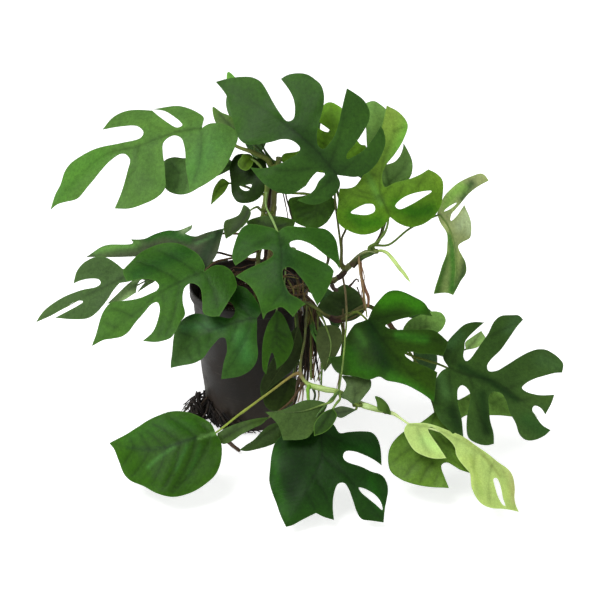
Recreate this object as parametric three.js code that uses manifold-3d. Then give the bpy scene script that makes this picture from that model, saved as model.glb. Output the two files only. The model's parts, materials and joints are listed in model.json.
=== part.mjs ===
// A mini monstera in its nursery pot, in millimetres, +Z up.
// The origin is the middle of the pot's underside, and the plant leans out towards -Y.
import * as THREE from "three";
import { mergeVertices } from "three/addons/utils/BufferGeometryUtils.js";
import Module from "manifold-3d";

const wasm = await Module();
wasm.setup();

// ---- Driving dimensions ----
const POT_HEIGHT = 145;
const POT_RIM_RADIUS = 59;
const POT_BASE_RADIUS = 44.5;
const POT_WALL = 1.6;
const RIM_DEPTH = 11;
const SOIL_DEPTH_BELOW_RIM = 21;
const CLEARANCE = 0.3;
const BLADE_THICKNESS = 0.7;
const BLADE_EDGE_STEP = 10.5;
const BLADE_INNER_STEP = 17;
const BLADE_FOLD = -0.12;
const BLADE_ARCH = 0.05;
const BLADE_WAVE = 1.4;
const PETIOLE_RADIUS = 1.2;
const STRAND_RADIUS = 1.3;
const RIM_LIP = 2.6;
const HOLE_SLACK = 0.1;
const EYE_DISTANCE = 1800;
const EYE_LIFT = THREE.MathUtils.degToRad(27);
const WINDOW = 600;
const WINDOW_MIDDLE = new THREE.Vector3(51, 0, 127);

// Sides of a round section, and mm from one section to the next.
const STEM_CUT = { sides: 8, step: 10 };
const PETIOLE_CUT = { sides: 5, step: 11 };
const ROOT_CUT = { sides: 5, step: 14 };
const STRAND_CUT = { sides: 4, step: 14 };
const STAKE_CUT = { sides: 8, step: 300 };

// The plant is laid out in a window: a 600 mm square, tipped back by EYE_LIFT, with its middle at
// WINDOW_MIDDLE. Places in it are mm across from its left edge and down from its top edge, as an eye
// EYE_DISTANCE away sees them, and mm out of it towards that eye.
const ACROSS = new THREE.Vector3(1, 0, 0);
const UP_WINDOW = new THREE.Vector3(0, Math.sin(EYE_LIFT), Math.cos(EYE_LIFT));
const TOWARD = new THREE.Vector3(0, -Math.cos(EYE_LIFT), Math.sin(EYE_LIFT));

function seen(across, down, toward) {
  const nearer = (EYE_DISTANCE - toward) / EYE_DISTANCE;
  return WINDOW_MIDDLE.clone()
    .addScaledVector(ACROSS, (across - WINDOW / 2) * nearer)
    .addScaledVector(UP_WINDOW, (WINDOW / 2 - down) * nearer)
    .addScaledVector(TOWARD, toward);
}

// ---- Solids ----
function solid(geometry) {
  const bare = geometry.index ? geometry.toNonIndexed() : geometry.clone();
  bare.deleteAttribute("normal");
  bare.deleteAttribute("uv");
  const merged = mergeVertices(bare, 1e-3);
  const vertProperties = merged.attributes.position.array;
  const triVerts = new Uint32Array(merged.index.array);
  const made = new wasm.Manifold(new wasm.Mesh({ numProp: 3, vertProperties, triVerts }));
  if (made.volume() > 0) return made;
  for (let i = 0; i < triVerts.length; i += 3) {
    [triVerts[i + 1], triVerts[i + 2]] = [triVerts[i + 2], triVerts[i + 1]];
  }
  return new wasm.Manifold(new wasm.Mesh({ numProp: 3, vertProperties, triVerts }));
}

function meshOf(name, body, colour, roughness = 0.6) {
  const { vertProperties, triVerts } = body.getMesh();
  const geometry = new THREE.BufferGeometry();
  const places = new Float32Array(vertProperties);
  geometry.setAttribute("position", new THREE.BufferAttribute(places, 3));
  geometry.setIndex(new THREE.BufferAttribute(new Uint32Array(triVerts), 1));
  geometry.computeVertexNormals();
  const material = new THREE.MeshStandardMaterial({ color: colour, roughness, metalness: 0 });
  const mesh = new THREE.Mesh(geometry, material);
  mesh.name = name;
  return mesh;
}

function turned(profile, segments = 36) {
  const points = profile.map(([radius, height]) => new THREE.Vector2(radius, height));
  const lathe = new THREE.LatheGeometry(points, segments);
  lathe.rotateX(Math.PI / 2);
  return solid(lathe);
}

// A round stem along a smooth curve through the points.
function tube(points, radius, { sides, step }) {
  const curve = new THREE.CatmullRomCurve3(points, false, "centripetal");
  const steps = Math.max(2, Math.round(curve.getLength() / step));
  const section = new THREE.Shape();
  for (let i = 0; i < sides; i++) {
    const angle = (2 * Math.PI * i) / sides;
    const x = radius * Math.cos(angle);
    const y = radius * Math.sin(angle);
    if (i === 0) section.moveTo(x, y);
    else section.lineTo(x, y);
  }
  section.closePath();
  return solid(new THREE.ExtrudeGeometry(section, { steps, extrudePath: curve, bevelEnabled: false }));
}

// ---- Leaf blades ----
// An outline is a list of smooth runs of edge, each [x, y, x, y, ...] in window mm. A run starts at a
// sharp corner and ends at the first point of the next run.
function pairs(numbers) {
  const points = [];
  for (let i = 0; i < numbers.length; i += 2) {
    points.push(new THREE.Vector2(numbers[i], numbers[i + 1]));
  }
  return points;
}

function smoothed(points, closed, step) {
  const flat = points.map((point) => new THREE.Vector3(point.x, point.y, 0));
  const curve = new THREE.CatmullRomCurve3(flat, closed, "centripetal");
  curve.arcLengthDivisions = 400;
  const count = Math.max(1, Math.round(curve.getLength() / step));
  return curve.getSpacedPoints(count).slice(0, -1).map((point) => new THREE.Vector2(point.x, point.y));
}

function edgeOf(runs, step) {
  if (runs.length === 1) return smoothed(pairs(runs[0]), true, step);
  return runs.flatMap((run, i) => {
    const next = runs[(i + 1) % runs.length];
    return smoothed([...pairs(run), new THREE.Vector2(next[0], next[1])], false, step);
  });
}

function insideRing(point, ring) {
  let inside = false;
  ring.forEach((a, i) => {
    const b = ring[(i + 1) % ring.length];
    const crosses = a.y > point.y !== b.y > point.y;
    if (crosses && point.x < ((b.x - a.x) * (point.y - a.y)) / (b.y - a.y) + a.x) inside = !inside;
  });
  return inside;
}

function distanceToRing(point, ring) {
  let least = Infinity;
  ring.forEach((a, i) => {
    const along = ring[(i + 1) % ring.length].clone().sub(a);
    const t = THREE.MathUtils.clamp(point.clone().sub(a).dot(along) / along.lengthSq(), 0, 1);
    least = Math.min(least, a.clone().addScaledVector(along, t).distanceTo(point));
  });
  return least;
}

function turn(a, b, c) {
  return (b.x - a.x) * (c.y - a.y) - (b.y - a.y) * (c.x - a.x);
}

// Whether d lies inside the circle through a, b and c, which turn to the left.
function inCircle(a, b, c, d) {
  const rows = [a, b, c].map((p) => [p.x - d.x, p.y - d.y, (p.x - d.x) ** 2 + (p.y - d.y) ** 2]);
  const [[ax, ay, as], [bx, by, bs], [cx, cy, cs]] = rows;
  return ax * (by * cs - bs * cy) - ay * (bx * cs - bs * cx) + as * (bx * cy - by * cx) > 1e-6;
}

// Swaps the shared side of neighbouring triangles until each pair has its better split.
function evened(points, faces) {
  for (let pass = 0; pass < 40; pass++) {
    const owner = new Map();
    faces.forEach((face, index) => {
      for (let k = 0; k < 3; k++) {
        const side = face[k] + "," + face[(k + 1) % 3];
        owner.set(side, [index, face[(k + 2) % 3]]);
      }
    });
    const touched = new Set();
    for (const [side, [first, apex]] of owner) {
      const [a, b] = side.split(",").map(Number);
      const other = owner.get(b + "," + a);
      if (!other || a > b || touched.has(first) || touched.has(other[0])) continue;
      const [second, far] = other;
      if (!inCircle(points[a], points[b], points[apex], points[far])) continue;
      if (turn(points[far], points[b], points[apex]) <= 1e-6) continue;
      if (turn(points[apex], points[a], points[far]) <= 1e-6) continue;
      faces[first] = [far, b, apex];
      faces[second] = [apex, a, far];
      touched.add(first).add(second);
    }
    if (!touched.size) break;
  }
}

// Splits the flat outline into triangles, with points along the midrib and a grid of inner points. The
// midrib's points keep midribMargin from the edges, and the grid's keep edgeMargin from them and
// ribMargin from the midrib's points.
function triangulated(rings, midrib, spacing) {
  const midribMargin = 0.3 * spacing;
  const edgeMargin = 0.45 * spacing;
  const ribMargin = 0.6 * spacing;
  const faces = THREE.ShapeUtils.triangulateShape(rings[0], rings.slice(1));
  const points = rings.flat();
  faces.forEach((face) => {
    if (turn(...face.map((i) => points[i])) < 0) face.reverse();
  });
  const wanted = midrib.filter((point) => clearOfEdges(point, rings, midribMargin));
  const box = new THREE.Box2().setFromPoints(points);
  const rowStep = spacing * Math.sqrt(0.75);
  for (let row = 0, y = box.min.y; y < box.max.y; row++, y += rowStep) {
    for (let x = box.min.x + (row % 2) * spacing * 0.5; x < box.max.x; x += spacing) {
      const point = new THREE.Vector2(x, y);
      const clear = wanted.every((other) => other.distanceTo(point) > ribMargin);
      if (clear && clearOfEdges(point, rings, edgeMargin)) wanted.push(point);
    }
  }
  for (const point of wanted) {
    const index = faces.findIndex(([a, b, c]) => {
      const sides = [[a, b], [b, c], [c, a]];
      return sides.every(([from, to]) => turn(points[from], points[to], point) > 1e-6);
    });
    if (index < 0) continue;
    const [a, b, c] = faces[index];
    points.push(point);
    const middle = points.length - 1;
    faces.splice(index, 1, [a, b, middle], [b, c, middle], [c, a, middle]);
    evened(points, faces);
  }
  evened(points, faces);
  return { points, faces };
}

function clearOfEdges(point, rings, distance) {
  if (!insideRing(point, rings[0]) || rings.slice(1).some((hole) => insideRing(point, hole))) return false;
  return rings.every((ring) => distanceToRing(point, ring) > distance);
}

// How far a point of the window lies along a leaf's midrib, from 0 at its base to 1 at its tip, and how
// far it lies to the side of it, in mm.
function alongMidrib(leaf, point) {
  const ribs = pairs(leaf.midrib);
  const base = ribs[0];
  const chord = ribs[ribs.length - 1].clone().sub(base);
  const length = chord.length();
  const heading = chord.normalize();
  const local = ribs.map((rib) => {
    const off = rib.clone().sub(base);
    return [off.dot(heading) / length, heading.x * off.y - heading.y * off.x];
  });
  const off = point.clone().sub(base);
  const along = off.dot(heading) / length;
  const held = THREE.MathUtils.clamp(along, 0, 1);
  let k = 0;
  while (k < local.length - 2 && held > local[k + 1][0]) k++;
  const [[s0, w0], [s1, w1]] = [local[k], local[k + 1]];
  const ease = (held - s0) / (s1 - s0);
  const bent = w0 + (w1 - w0) * ease;
  return { along, aside: heading.x * off.y - heading.y * off.x - bent, length };
}

// How far the leaf's middle surface stands out of the window at a point: a plane that faces
// faces = [degrees to the right, degrees up], folded along the midrib, arched from base to tip and
// waved towards its edges.
function outOfWindow(leaf, point) {
  const [right, lift] = leaf.faces.map(THREE.MathUtils.degToRad);
  const normal = new THREE.Vector3(
    Math.sin(right) * Math.cos(lift),
    -Math.cos(right) * Math.cos(lift),
    Math.sin(lift),
  );
  const out = normal.dot(TOWARD);
  const perAcross = -normal.x / out;
  const perDown = normal.dot(UP_WINDOW) / out;
  const { along, aside, length } = alongMidrib(leaf, point);
  const fold = leaf.fold ?? BLADE_FOLD;
  const arch = (leaf.arch ?? BLADE_ARCH) * length;
  const [baseX, baseY] = leaf.midrib;
  const wave = BLADE_WAVE * Math.sin(along * 9 + baseX) * Math.min(1, Math.abs(aside) / 30);
  let toward = leaf.toward + perAcross * (point.x - baseX) + perDown * (point.y - baseY);
  toward += fold * (Math.hypot(aside, 3) - 3) + 4 * arch * along * (1 - along) + wave;
  return toward;
}

function onLeaf(leaf, x, y) {
  return seen(x, y, outOfWindow(leaf, new THREE.Vector2(x, y)));
}

function leafNormal(leaf, x, y) {
  const probe = 0.5;
  const acrossStep = onLeaf(leaf, x + probe, y).sub(onLeaf(leaf, x - probe, y));
  const downStep = onLeaf(leaf, x, y + probe).sub(onLeaf(leaf, x, y - probe));
  return downStep.cross(acrossStep).normalize();
}

function blade(leaf) {
  const holes = (leaf.holes ?? []).map((hole) => [hole]);
  const rings = [leaf.outline, ...holes].map((runs) => edgeOf(runs, BLADE_EDGE_STEP));
  const ribPoints = smoothed(pairs(leaf.midrib), false, BLADE_EDGE_STEP).slice(1);
  const { points, faces } = triangulated(rings, ribPoints, BLADE_INNER_STEP);
  const vertices = [];
  for (const side of [1, -1]) {
    for (const { x, y } of points) {
      const normal = leafNormal(leaf, x, y);
      vertices.push(onLeaf(leaf, x, y).addScaledVector(normal, (side * BLADE_THICKNESS) / 2));
    }
  }
  const under = points.length;
  const triangles = faces.flatMap(([a, b, c]) => [[a, c, b], [under + a, under + b, under + c]]);
  const directed = new Set(faces.flatMap(([a, b, c]) => [a + "," + b, b + "," + c, c + "," + a]));
  for (const side of directed) {
    const [a, b] = side.split(",").map(Number);
    if (directed.has(b + "," + a)) continue;
    triangles.push([a, b, under + b], [a, under + b, under + a]);
  }
  const geometry = new THREE.BufferGeometry().setFromPoints(vertices);
  geometry.setIndex(triangles.flat());
  return solid(geometry);
}

// ---- Leaves: outline, holes, midrib, facing and the petiole's route from the stem that carries it ----
// A petiole's points are [across, down, toward] in the window, or world places as THREE.Vector3, and it
// ends at the leaf's base, the first point of the midrib.
const at = (x, y, z) => new THREE.Vector3(x, y, z);
const DARK = 0x2c5a26;
const MIDDLE = 0x35702a;
const BRIGHT = 0x4d8a1e;
const PALE = 0x9cc860;

const LEAVES = {
  leaf_01: {
    colour: MIDDLE, toward: 55, faces: [-35, 50], fold: -0.3, on: "stem_a",
    midrib: [202, 128, 177, 131, 142, 145, 107, 154, 86, 169, 50, 209],
    outline: [
      [202, 128, 204, 118, 196, 111, 181, 107, 166, 107],
      [152, 108, 158, 109.2, 165, 111.5, 173, 116, 179, 120, 182, 124, 177, 126.5, 168, 122.5, 159, 116.5],
      [151.5, 109.4, 141, 108.6, 130, 109.8, 120, 113, 111, 118.5],
      [102, 129, 112, 126.3, 122, 125, 132, 125.3, 139, 127.5, 144, 133, 141, 138, 121, 143, 93, 150,
        72, 162, 66, 171, 61, 184, 54, 195],
      [50, 209, 57, 204, 66, 202, 78, 199, 89, 185, 100, 171, 111, 160, 120, 154, 125, 154, 130, 160,
        128, 171, 121, 191],
      [114, 208, 128, 208, 142, 204, 156, 197, 165, 187, 165, 174, 163, 153, 164, 142, 173, 135, 181, 138,
        184, 146, 186, 167],
      [189, 192, 205, 183, 222, 170, 232, 153, 238, 136, 233, 128, 224, 124, 212, 124],
    ],
    petiole: [[281, 170, 76], [268, 160, 75], [252, 152, 72], [238, 147, 65], [221, 138, 56]],
  },
  leaf_02: {
    colour: DARK, toward: 41, faces: [-30, 50], on: "stem_a",
    midrib: [235, 165, 200, 168, 163, 176],
    outline: [[235, 165, 226, 172, 212, 179, 198, 188, 187, 193, 178, 194, 168, 191, 163, 183, 161, 170,
      164, 160.5, 173, 157, 186, 158, 204, 153, 222, 155]],
    petiole: [[280, 176, 70], [264, 168, 45]],
  },
  leaf_03: {
    colour: MIDDLE, toward: 47, faces: [-20, 40], on: "stem_b",
    midrib: [229, 182, 219, 188, 211, 205],
    outline: [[229, 182, 222, 178, 215, 186], [211, 205, 224, 193, 227, 188]],
    petiole: [[265, 196, 64], [254, 190, 46], [238, 184, 45]],
  },
  leaf_04: {
    colour: DARK, toward: 57, faces: [-10, 35], on: "stem_b",
    midrib: [256, 158, 257.5, 180, 249, 202],
    outline: [[256, 158, 246, 154, 236, 155, 230, 165, 230, 180, 232, 194, 238, 202, 248, 203, 258, 199,
      265, 190, 267, 172, 264, 158]],
    holes: [[239, 186, 244, 190.5, 249, 190.5, 252, 184.5, 246, 185]],
    petiole: [[270, 172, 75], [268, 164, 73], [262, 156, 62]],
  },
  leaf_05: {
    colour: BRIGHT, toward: 46, faces: [-20, 50], on: "stem_a",
    midrib: [234, 130, 225, 120, 213, 107],
    outline: [[213, 107, 222, 113, 232, 118, 237, 129, 228, 134, 217, 125]],
    petiole: [[279, 168, 72], [258, 148, 60]],
  },
  leaf_06: {
    colour: BRIGHT, toward: 60, faces: [0, 40], on: "stem_a",
    midrib: [257, 130, 246, 104, 228, 72],
    outline: [[228, 72, 238, 80, 252, 95, 262, 118, 258, 130, 242, 122, 232, 98, 227, 84]],
    petiole: [[282, 166, 78], [265, 151, 68]],
  },
  leaf_07: {
    colour: DARK, toward: 95, faces: [-10, 35], fold: 0.06, arch: 0.1, on: "vine_c",
    midrib: [337, 175, 313, 147, 283, 123, 261, 108, 216, 82],
    outline: [
      [337, 175, 340, 184, 338, 191, 331, 198, 319, 204, 307, 204],
      [297, 200, 306, 196, 314, 190, 319, 181, 325, 174, 321, 170, 314, 175],
      [306, 186, 292, 194, 278, 192, 267, 186, 258, 177],
      [250, 167, 264, 168, 279, 164, 290, 158, 298, 153, 300, 148, 297, 144, 290, 140, 281, 139, 273, 141,
        256, 144, 246, 144, 240, 140, 235, 129, 231, 112, 226, 95],
      [216, 82, 228, 79, 240, 77, 252, 77, 260, 81, 266, 89, 273, 102, 280, 113, 287, 121, 293, 119,
        295, 111, 294, 101, 289, 90],
      [281, 79, 287, 75, 297, 73, 307, 74, 315, 79, 321, 85, 324, 95, 323, 108, 319, 123, 317, 135,
        318, 145, 323, 149, 329, 144, 335, 135, 339, 123, 342, 108],
      [347, 88, 355, 93, 364, 100, 370, 111, 369, 121, 363, 132, 355, 144, 347, 154, 347, 159, 353, 157,
        364, 150, 373, 139],
      [381, 126, 384, 131, 386, 142, 382, 154, 376, 165, 366, 174, 355, 177, 345, 176],
    ],
    petiole: [[345, 270, 58], [341, 250, 64], [338, 224, 72], [335, 200, 82]],
  },
  leaf_08: {
    colour: BRIGHT, toward: 76, faces: [0, 40], on: "vine_c",
    midrib: [335, 173, 334, 140, 330, 104],
    outline: [[324, 104, 331, 102, 341, 108, 347, 120, 352, 131, 357, 140, 361, 144.5, 366, 145.5, 364, 156,
      352, 168, 335, 173,
      318, 172, 300, 168, 281, 160, 283, 154, 300, 150, 312, 135, 318, 118]],
    holes: [[317, 120, 322, 124.5, 331, 131.5, 324, 131.5, 317, 126]],
    petiole: [[347, 268, 57], [342, 250, 56], [342, 238, 60], [346, 228, 62], [343, 210, 66], [337, 190, 73]],
  },
  leaf_09: {
    colour: DARK, toward: 52, faces: [15, 30], on: "vine_c",
    midrib: [390, 187, 382, 150, 374, 104],
    outline: [
      [364, 104, 374, 101, 386, 109, 389, 118],
      [387, 164.5, 395, 161.5, 400.5, 155, 403, 147],
      [403, 143, 408, 150, 411.5, 158, 412.5, 167, 410, 178, 397, 188, 385, 187, 374, 172, 368, 155, 367, 144,
        366, 130, 364, 116],
    ],
    petiole: [[370, 252, 61], [378, 243, 53], [384, 227, 50], [390, 204, 49]],
  },
  leaf_10: {
    colour: BRIGHT, toward: 70, faces: [15, 30], fold: -0.08, arch: 0.06, on: "vine_c",
    midrib: [390, 217, 380, 190, 384, 158, 394, 130, 387, 105],
    outline: [
      [390, 217, 398, 223, 409, 227, 422, 225, 433, 218, 441, 207, 444, 195, 443, 180, 437, 173],
      [429, 169, 421, 174, 409, 179, 394, 183, 385, 187, 382, 178, 385, 167, 394, 155, 403, 140, 408, 126,
        406, 119, 399, 112],
      [387, 105, 383, 122, 377, 145, 370, 162, 362, 177, 355, 186, 349, 188],
      [340, 188, 338, 204, 337, 215, 340, 225, 351, 232, 364, 235, 376, 232, 384, 225],
    ],
    holes: [
      [395, 206, 399, 209, 410, 205, 422, 198, 432, 191, 415, 193, 403, 198],
      [351, 213, 359, 207, 367, 204, 374, 205, 375, 211, 368, 215, 359, 215],
    ],
    petiole: [[370, 253, 62], [377, 242, 68], [386, 230, 70]],
  },
  leaf_11: {
    colour: BRIGHT, toward: 46, faces: [35, 15], fold: -0.2, on: "vine_c",
    midrib: [438, 214, 448, 228, 455, 258, 453, 295],
    outline: [
      [437, 214, 444, 197, 451, 189, 458, 183, 472, 176, 481, 174],
      [487, 181, 476, 187, 467, 194, 461, 202, 456, 209, 452, 214, 451, 221, 457, 216],
      [464, 205, 468, 215, 472, 231, 471, 238, 464, 242, 459, 246, 461, 254, 465, 263, 466, 272, 460, 282],
      [453, 295, 447, 293],
      [434, 294, 438, 280, 442, 266, 447, 253, 447, 243, 446, 233, 440, 222],
    ],
    holes: [[444, 211.5, 449, 206.5, 456.5, 202.5, 454.5, 205.5, 449.5, 209.5]],
    petiole: [[374, 252, 62], [388, 245, 63], [409, 229, 54], [428, 219, 48]],
  },
  leaf_12: {
    colour: DARK, toward: 92, faces: [0, 40], on: "vine_e",
    midrib: [281, 424, 262, 436, 239, 451],
    outline: [
      [281, 422, 270, 425, 261, 432, 254, 439.5, 246, 445],
      [239.5, 450, 246, 451.3, 256, 449.5, 268, 446, 278, 441, 284, 432],
    ],
    petiole: [[302, 380, 88], [295, 402, 84]],
  },
  leaf_13: {
    colour: MIDDLE, toward: 110, faces: [0, 45], fold: -0.15, arch: 0.08, on: "stem_b",
    midrib: [278, 231, 281, 250, 282, 280, 293, 317],
    outline: [
      [278, 231, 286, 227, 300, 227, 315, 227, 325, 228, 332, 233, 337, 240, 339, 252],
      [340, 269, 335, 262, 327, 255, 318, 249, 307, 243, 298, 240, 290, 242, 291, 247, 299, 251, 310, 255,
        323, 261, 330, 266],
      [334, 271, 332, 279, 327, 291],
      [317, 306, 314, 299, 308, 287, 300, 276, 294, 269, 288, 267, 283, 270, 283, 278, 286, 287, 290, 294,
        298, 298],
      [306, 304, 300, 308],
      [293, 317, 286, 310, 281, 307, 273, 310, 267, 313],
      [263, 320, 261, 310, 256, 295, 249, 285],
      [235, 275, 245, 269, 257, 264, 268, 259, 273, 254, 271, 250, 265, 249, 256, 251, 246, 258],
      [235, 265, 232, 258, 233, 248, 237, 236, 242, 228, 249, 224, 257, 224, 266, 226, 273, 228],
    ],
    petiole: [[263, 191, 64], [266, 206, 86], [273, 221, 102]],
  },
  leaf_14: {
    colour: MIDDLE, toward: 96, faces: [-20, 40], on: "stem_b",
    midrib: [249, 210, 240, 224, 226, 239],
    outline: [[244, 205, 249, 208, 251, 213, 248, 220, 239, 230, 231, 236], [226, 239, 224, 229, 226, 221,
      231, 219, 239, 215]],
    petiole: [[263, 209, 60], [257, 207, 78]],
  },
  leaf_15: {
    colour: DARK, toward: 82, faces: [0, 50], on: "stem_a",
    midrib: [256, 220, 275, 226, 296, 222],
    outline: [[246, 222, 256, 217, 270, 216, 284, 217], [296, 221, 290, 232, 270, 237, 253, 232]],
    petiole: [[270, 214, 56], [262, 216, 70]],
  },
  leaf_16: {
    colour: DARK, toward: 66, faces: [0, 30], on: "stem_a",
    midrib: [322, 196, 316, 210, 318, 228],
    outline: [[289, 199, 302, 196, 318, 194, 331, 196, 336, 204, 333, 213, 326, 223, 316, 228.5, 303, 226,
      293, 221, 289, 210]],
    petiole: [[273, 188, 55], [290, 193, 60], [308, 194, 65]],
  },
  leaf_17: {
    colour: MIDDLE, toward: 85, faces: [-25, 50], fold: -0.2, arch: 0.08, on: "stem_b",
    midrib: [204, 272, 180, 281, 158, 294, 130, 317, 92, 346],
    outline: [
      [204, 272, 215, 265, 225, 266, 233, 273, 237, 285, 230, 299, 224, 309],
      [219, 316, 210, 316, 203, 312, 202, 300, 200, 288, 191, 283, 185, 287, 183, 294, 183, 303, 185, 314,
        180, 322, 176, 330, 171, 337, 163, 340.5, 155, 342],
      [142.5, 341, 152, 332, 157.5, 321, 160, 309, 157, 302, 151, 304, 143, 313, 136, 322, 129, 332,
        122, 336.7, 112, 338.7, 103, 340],
      [92, 346, 97, 329, 105, 311, 112, 303, 122, 301.5, 131, 300, 141, 297.3, 150, 293.5, 157, 290, 159, 286,
        156, 282, 146, 279],
      [126, 281, 123, 271, 131, 262, 142, 251, 160, 244, 181, 244, 194, 251, 202, 260, 205, 267],
    ],
    petiole: [[259, 250, 37], [244, 256, 54], [227, 259, 66], [214, 263, 77]],
  },
  leaf_18: {
    colour: MIDDLE, toward: 55, faces: [-35, 50], arch: 0.06, on: "stem_b",
    midrib: [150, 264, 118, 280, 92, 293, 36, 322],
    outline: [
      [150, 264, 141, 266, 132, 270],
      [123, 269.5, 117, 264, 110.5, 259.5, 103, 256.5, 94, 257, 84, 262, 77, 271],
      [73, 283, 80, 280, 89, 278, 98, 279, 101, 283, 97, 287, 79, 291, 61, 297, 46, 308],
      [36, 322, 50, 316, 63, 308, 77, 301, 84, 302, 78, 306, 68, 311],
      [55, 318, 73, 319, 88, 318, 96, 313, 102, 306, 107, 299, 113, 290],
      [119.5, 283, 130, 281, 142, 276, 149, 270],
    ],
    petiole: [[258, 258, 30], [243, 257.5, 36], [230, 255.5, 38], [217, 252.5, 39], [190, 256, 40]],
  },
  leaf_19: {
    colour: DARK, toward: 56, faces: [-35, 50], on: "stem_b",
    midrib: [223, 232, 180, 243, 130, 249, 86, 257],
    outline: [
      [86, 257, 106, 246, 132, 242],
      [130, 238.5, 144, 238, 155, 234, 168, 231, 178, 231],
      [192.5, 225, 191.5, 228.5, 188, 231.5],
      [185, 233.5, 190, 235, 196, 235.3, 201, 233.5, 208, 231.5, 216, 230],
      [224, 228.5, 221.5, 240, 218, 251, 212.5, 260, 205, 267.5],
      [203, 268, 188, 262, 160, 257, 125, 257, 105, 257],
    ],
    petiole: [[260, 236, 44], [240, 234, 54]],
  },
  leaf_20: {
    colour: MIDDLE, toward: 46, faces: [-35, 50], on: "stem_b",
    midrib: [150, 277, 133, 287, 110, 302],
    outline: [
      [154, 275, 142, 277, 133, 280, 127, 284, 118, 292],
      [107, 303.5, 115, 302, 124, 299.5, 131, 295.5],
      [136, 292.5, 136.8, 286, 139.5, 280.5, 142.5, 279, 145, 281, 141, 287],
      [137, 293, 144, 288.5, 150, 284.5, 155, 281],
    ],
    petiole: [[258, 272, 26], [220, 276, 34], [170, 275, 40]],
  },
  leaf_21: {
    colour: DARK, toward: 88, faces: [-15, 40], fold: -0.2, arch: 0.06, on: "soil",
    midrib: [257, 318, 232, 323, 200, 336, 171, 368],
    outline: [
      [257, 318, 257, 342, 258, 354, 256, 362, 250, 370, 240, 376, 230, 378],
      [221, 379, 224, 362, 227, 350, 225, 338, 220, 338, 215, 343, 209, 350, 203, 358, 194, 363, 180, 366],
      [171, 368, 173, 342, 176, 329, 183, 319, 194, 314, 206, 315, 219, 316, 231, 317, 235, 310, 231, 303,
        222, 300],
      [208, 296, 213, 289, 226, 286, 242, 286, 252, 294, 259, 305, 261, 313],
    ],
    petiole: [at(2, -30, 100), at(3, -40, 140), at(6, -61, 151), [256, 312, 78]],
  },
  leaf_22: {
    colour: DARK, toward: 92, faces: [15, 25], on: "soil",
    midrib: [277, 311, 277, 335, 272, 353],
    outline: [
      [277, 310, 283, 314, 289, 328, 294, 343, 288, 357],
      [276, 369, 275, 360, 272, 352, 269, 360],
      [266, 374, 263, 370, 262, 356, 263, 340, 268, 324],
    ],
    petiole: [at(16, -26, 100), at(19, -38, 140), at(26, -57, 151), [277, 307, 78]],
  },
  leaf_23: {
    colour: DARK, toward: 74, faces: [0, 20], on: "soil",
    midrib: [298, 326, 289, 353, 262, 396],
    outline: [
      [298, 325, 302, 340, 300, 358, 292, 370, 281, 379, 270, 388],
      [261, 398, 261, 384, 267, 369, 277, 352, 288, 336],
    ],
    petiole: [at(26, -28, 100), at(30, -36, 140), at(37, -50, 151), [295, 310, 66]],
  },
  leaf_24: {
    colour: DARK, toward: 80, faces: [20, 55], fold: -0.15, arch: 0.07, on: "vine_d",
    midrib: [368, 319, 384, 342, 405, 368, 434, 402],
    outline: [
      [368, 319, 373, 308, 380, 299, 388, 292, 398, 290, 408, 292, 417, 297, 426, 304],
      [433, 314, 421, 314, 411, 317, 398, 320, 390, 323, 385, 326, 391, 329, 404, 329, 419, 329, 433, 330,
        441, 334],
      [449, 341, 446, 349],
      [442, 357, 432, 354, 421, 353, 410, 351, 405, 354, 411, 359, 424, 366],
      [438, 372, 436, 385],
      [434, 402, 421, 393, 410, 387, 398, 383, 387, 380, 380, 376, 369, 379, 357, 377, 343, 374, 335, 369],
      [328, 357, 342, 354, 342.5, 344, 346, 337, 350, 330, 355, 324, 361, 321.5],
    ],
    petiole: [[348, 313, 60], [357, 312, 70]],
  },
  leaf_25: {
    colour: BRIGHT, toward: 38, faces: [20, 50], on: "vine_d",
    midrib: [408, 335, 426, 327, 445, 319],
    outline: [[403, 331, 408, 321, 418, 315, 431, 311, 441, 313.5, 445.5, 320, 443, 328, 437, 333, 424, 338,
      410, 338]],
    petiole: [[391, 330, 49], [400, 335, 42]],
  },
  leaf_26: {
    colour: DARK, toward: 75, faces: [35, 55], fold: -0.05, arch: 0.06, on: "vine_d",
    midrib: [449, 367, 469, 375, 496, 383, 514, 394, 551, 430],
    outline: [
      [449, 367, 444, 361, 443, 351, 448, 341, 456, 332, 465, 324, 475, 321],
      [485, 321, 477, 328, 469, 336, 465, 342, 464, 350, 463, 357, 466, 361, 470, 359, 476, 351, 483, 341,
        489, 332, 495, 320, 502, 314, 512, 312.5, 520, 313],
      [524, 318, 518, 325, 509, 338, 501, 349, 492, 358, 487, 366, 488, 372, 496, 371.5, 507, 365, 518, 358,
        529, 352, 539, 348.5, 549, 348.5, 556, 352.5, 561, 358.5, 564, 364],
      [563, 372, 555, 373, 544, 376, 534, 379, 525, 384, 522, 388, 526, 391, 532, 393, 542, 395],
      [554, 395, 551, 404],
      [546, 414, 540, 408, 534, 406, 532, 410, 537, 418, 543, 425],
      [551, 430, 544, 436, 535, 440, 527, 440, 520, 434, 515, 424, 511, 415, 507, 403, 501, 394, 493, 392,
        489, 396, 488.5, 402, 490.5, 415, 493.5, 430],
      [494.5, 443.5, 487, 445, 478, 443, 470, 437, 467, 428, 467, 415, 470, 402, 470, 392, 462, 385, 458, 389,
        457.5, 397, 459, 407, 461, 417, 463, 428],
      [465, 438, 455, 434, 445, 425, 438, 414, 433, 402, 433, 390, 436, 379, 442, 371],
    ],
    petiole: [[404, 350, 58], [425, 360, 66], [438, 364, 70]],
  },
  leaf_27: {
    colour: MIDDLE, toward: 58, faces: [35, 55], on: "vine_d",
    midrib: [456, 400, 485, 400, 512, 416],
    outline: [
      [454, 402, 464, 397.5, 471, 393, 478, 386, 490, 383, 504, 389, 511, 401],
      [512, 416.5, 500, 415.5, 486, 414.7, 474, 413.5, 466, 415.5, 458, 419, 452, 413],
    ],
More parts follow.
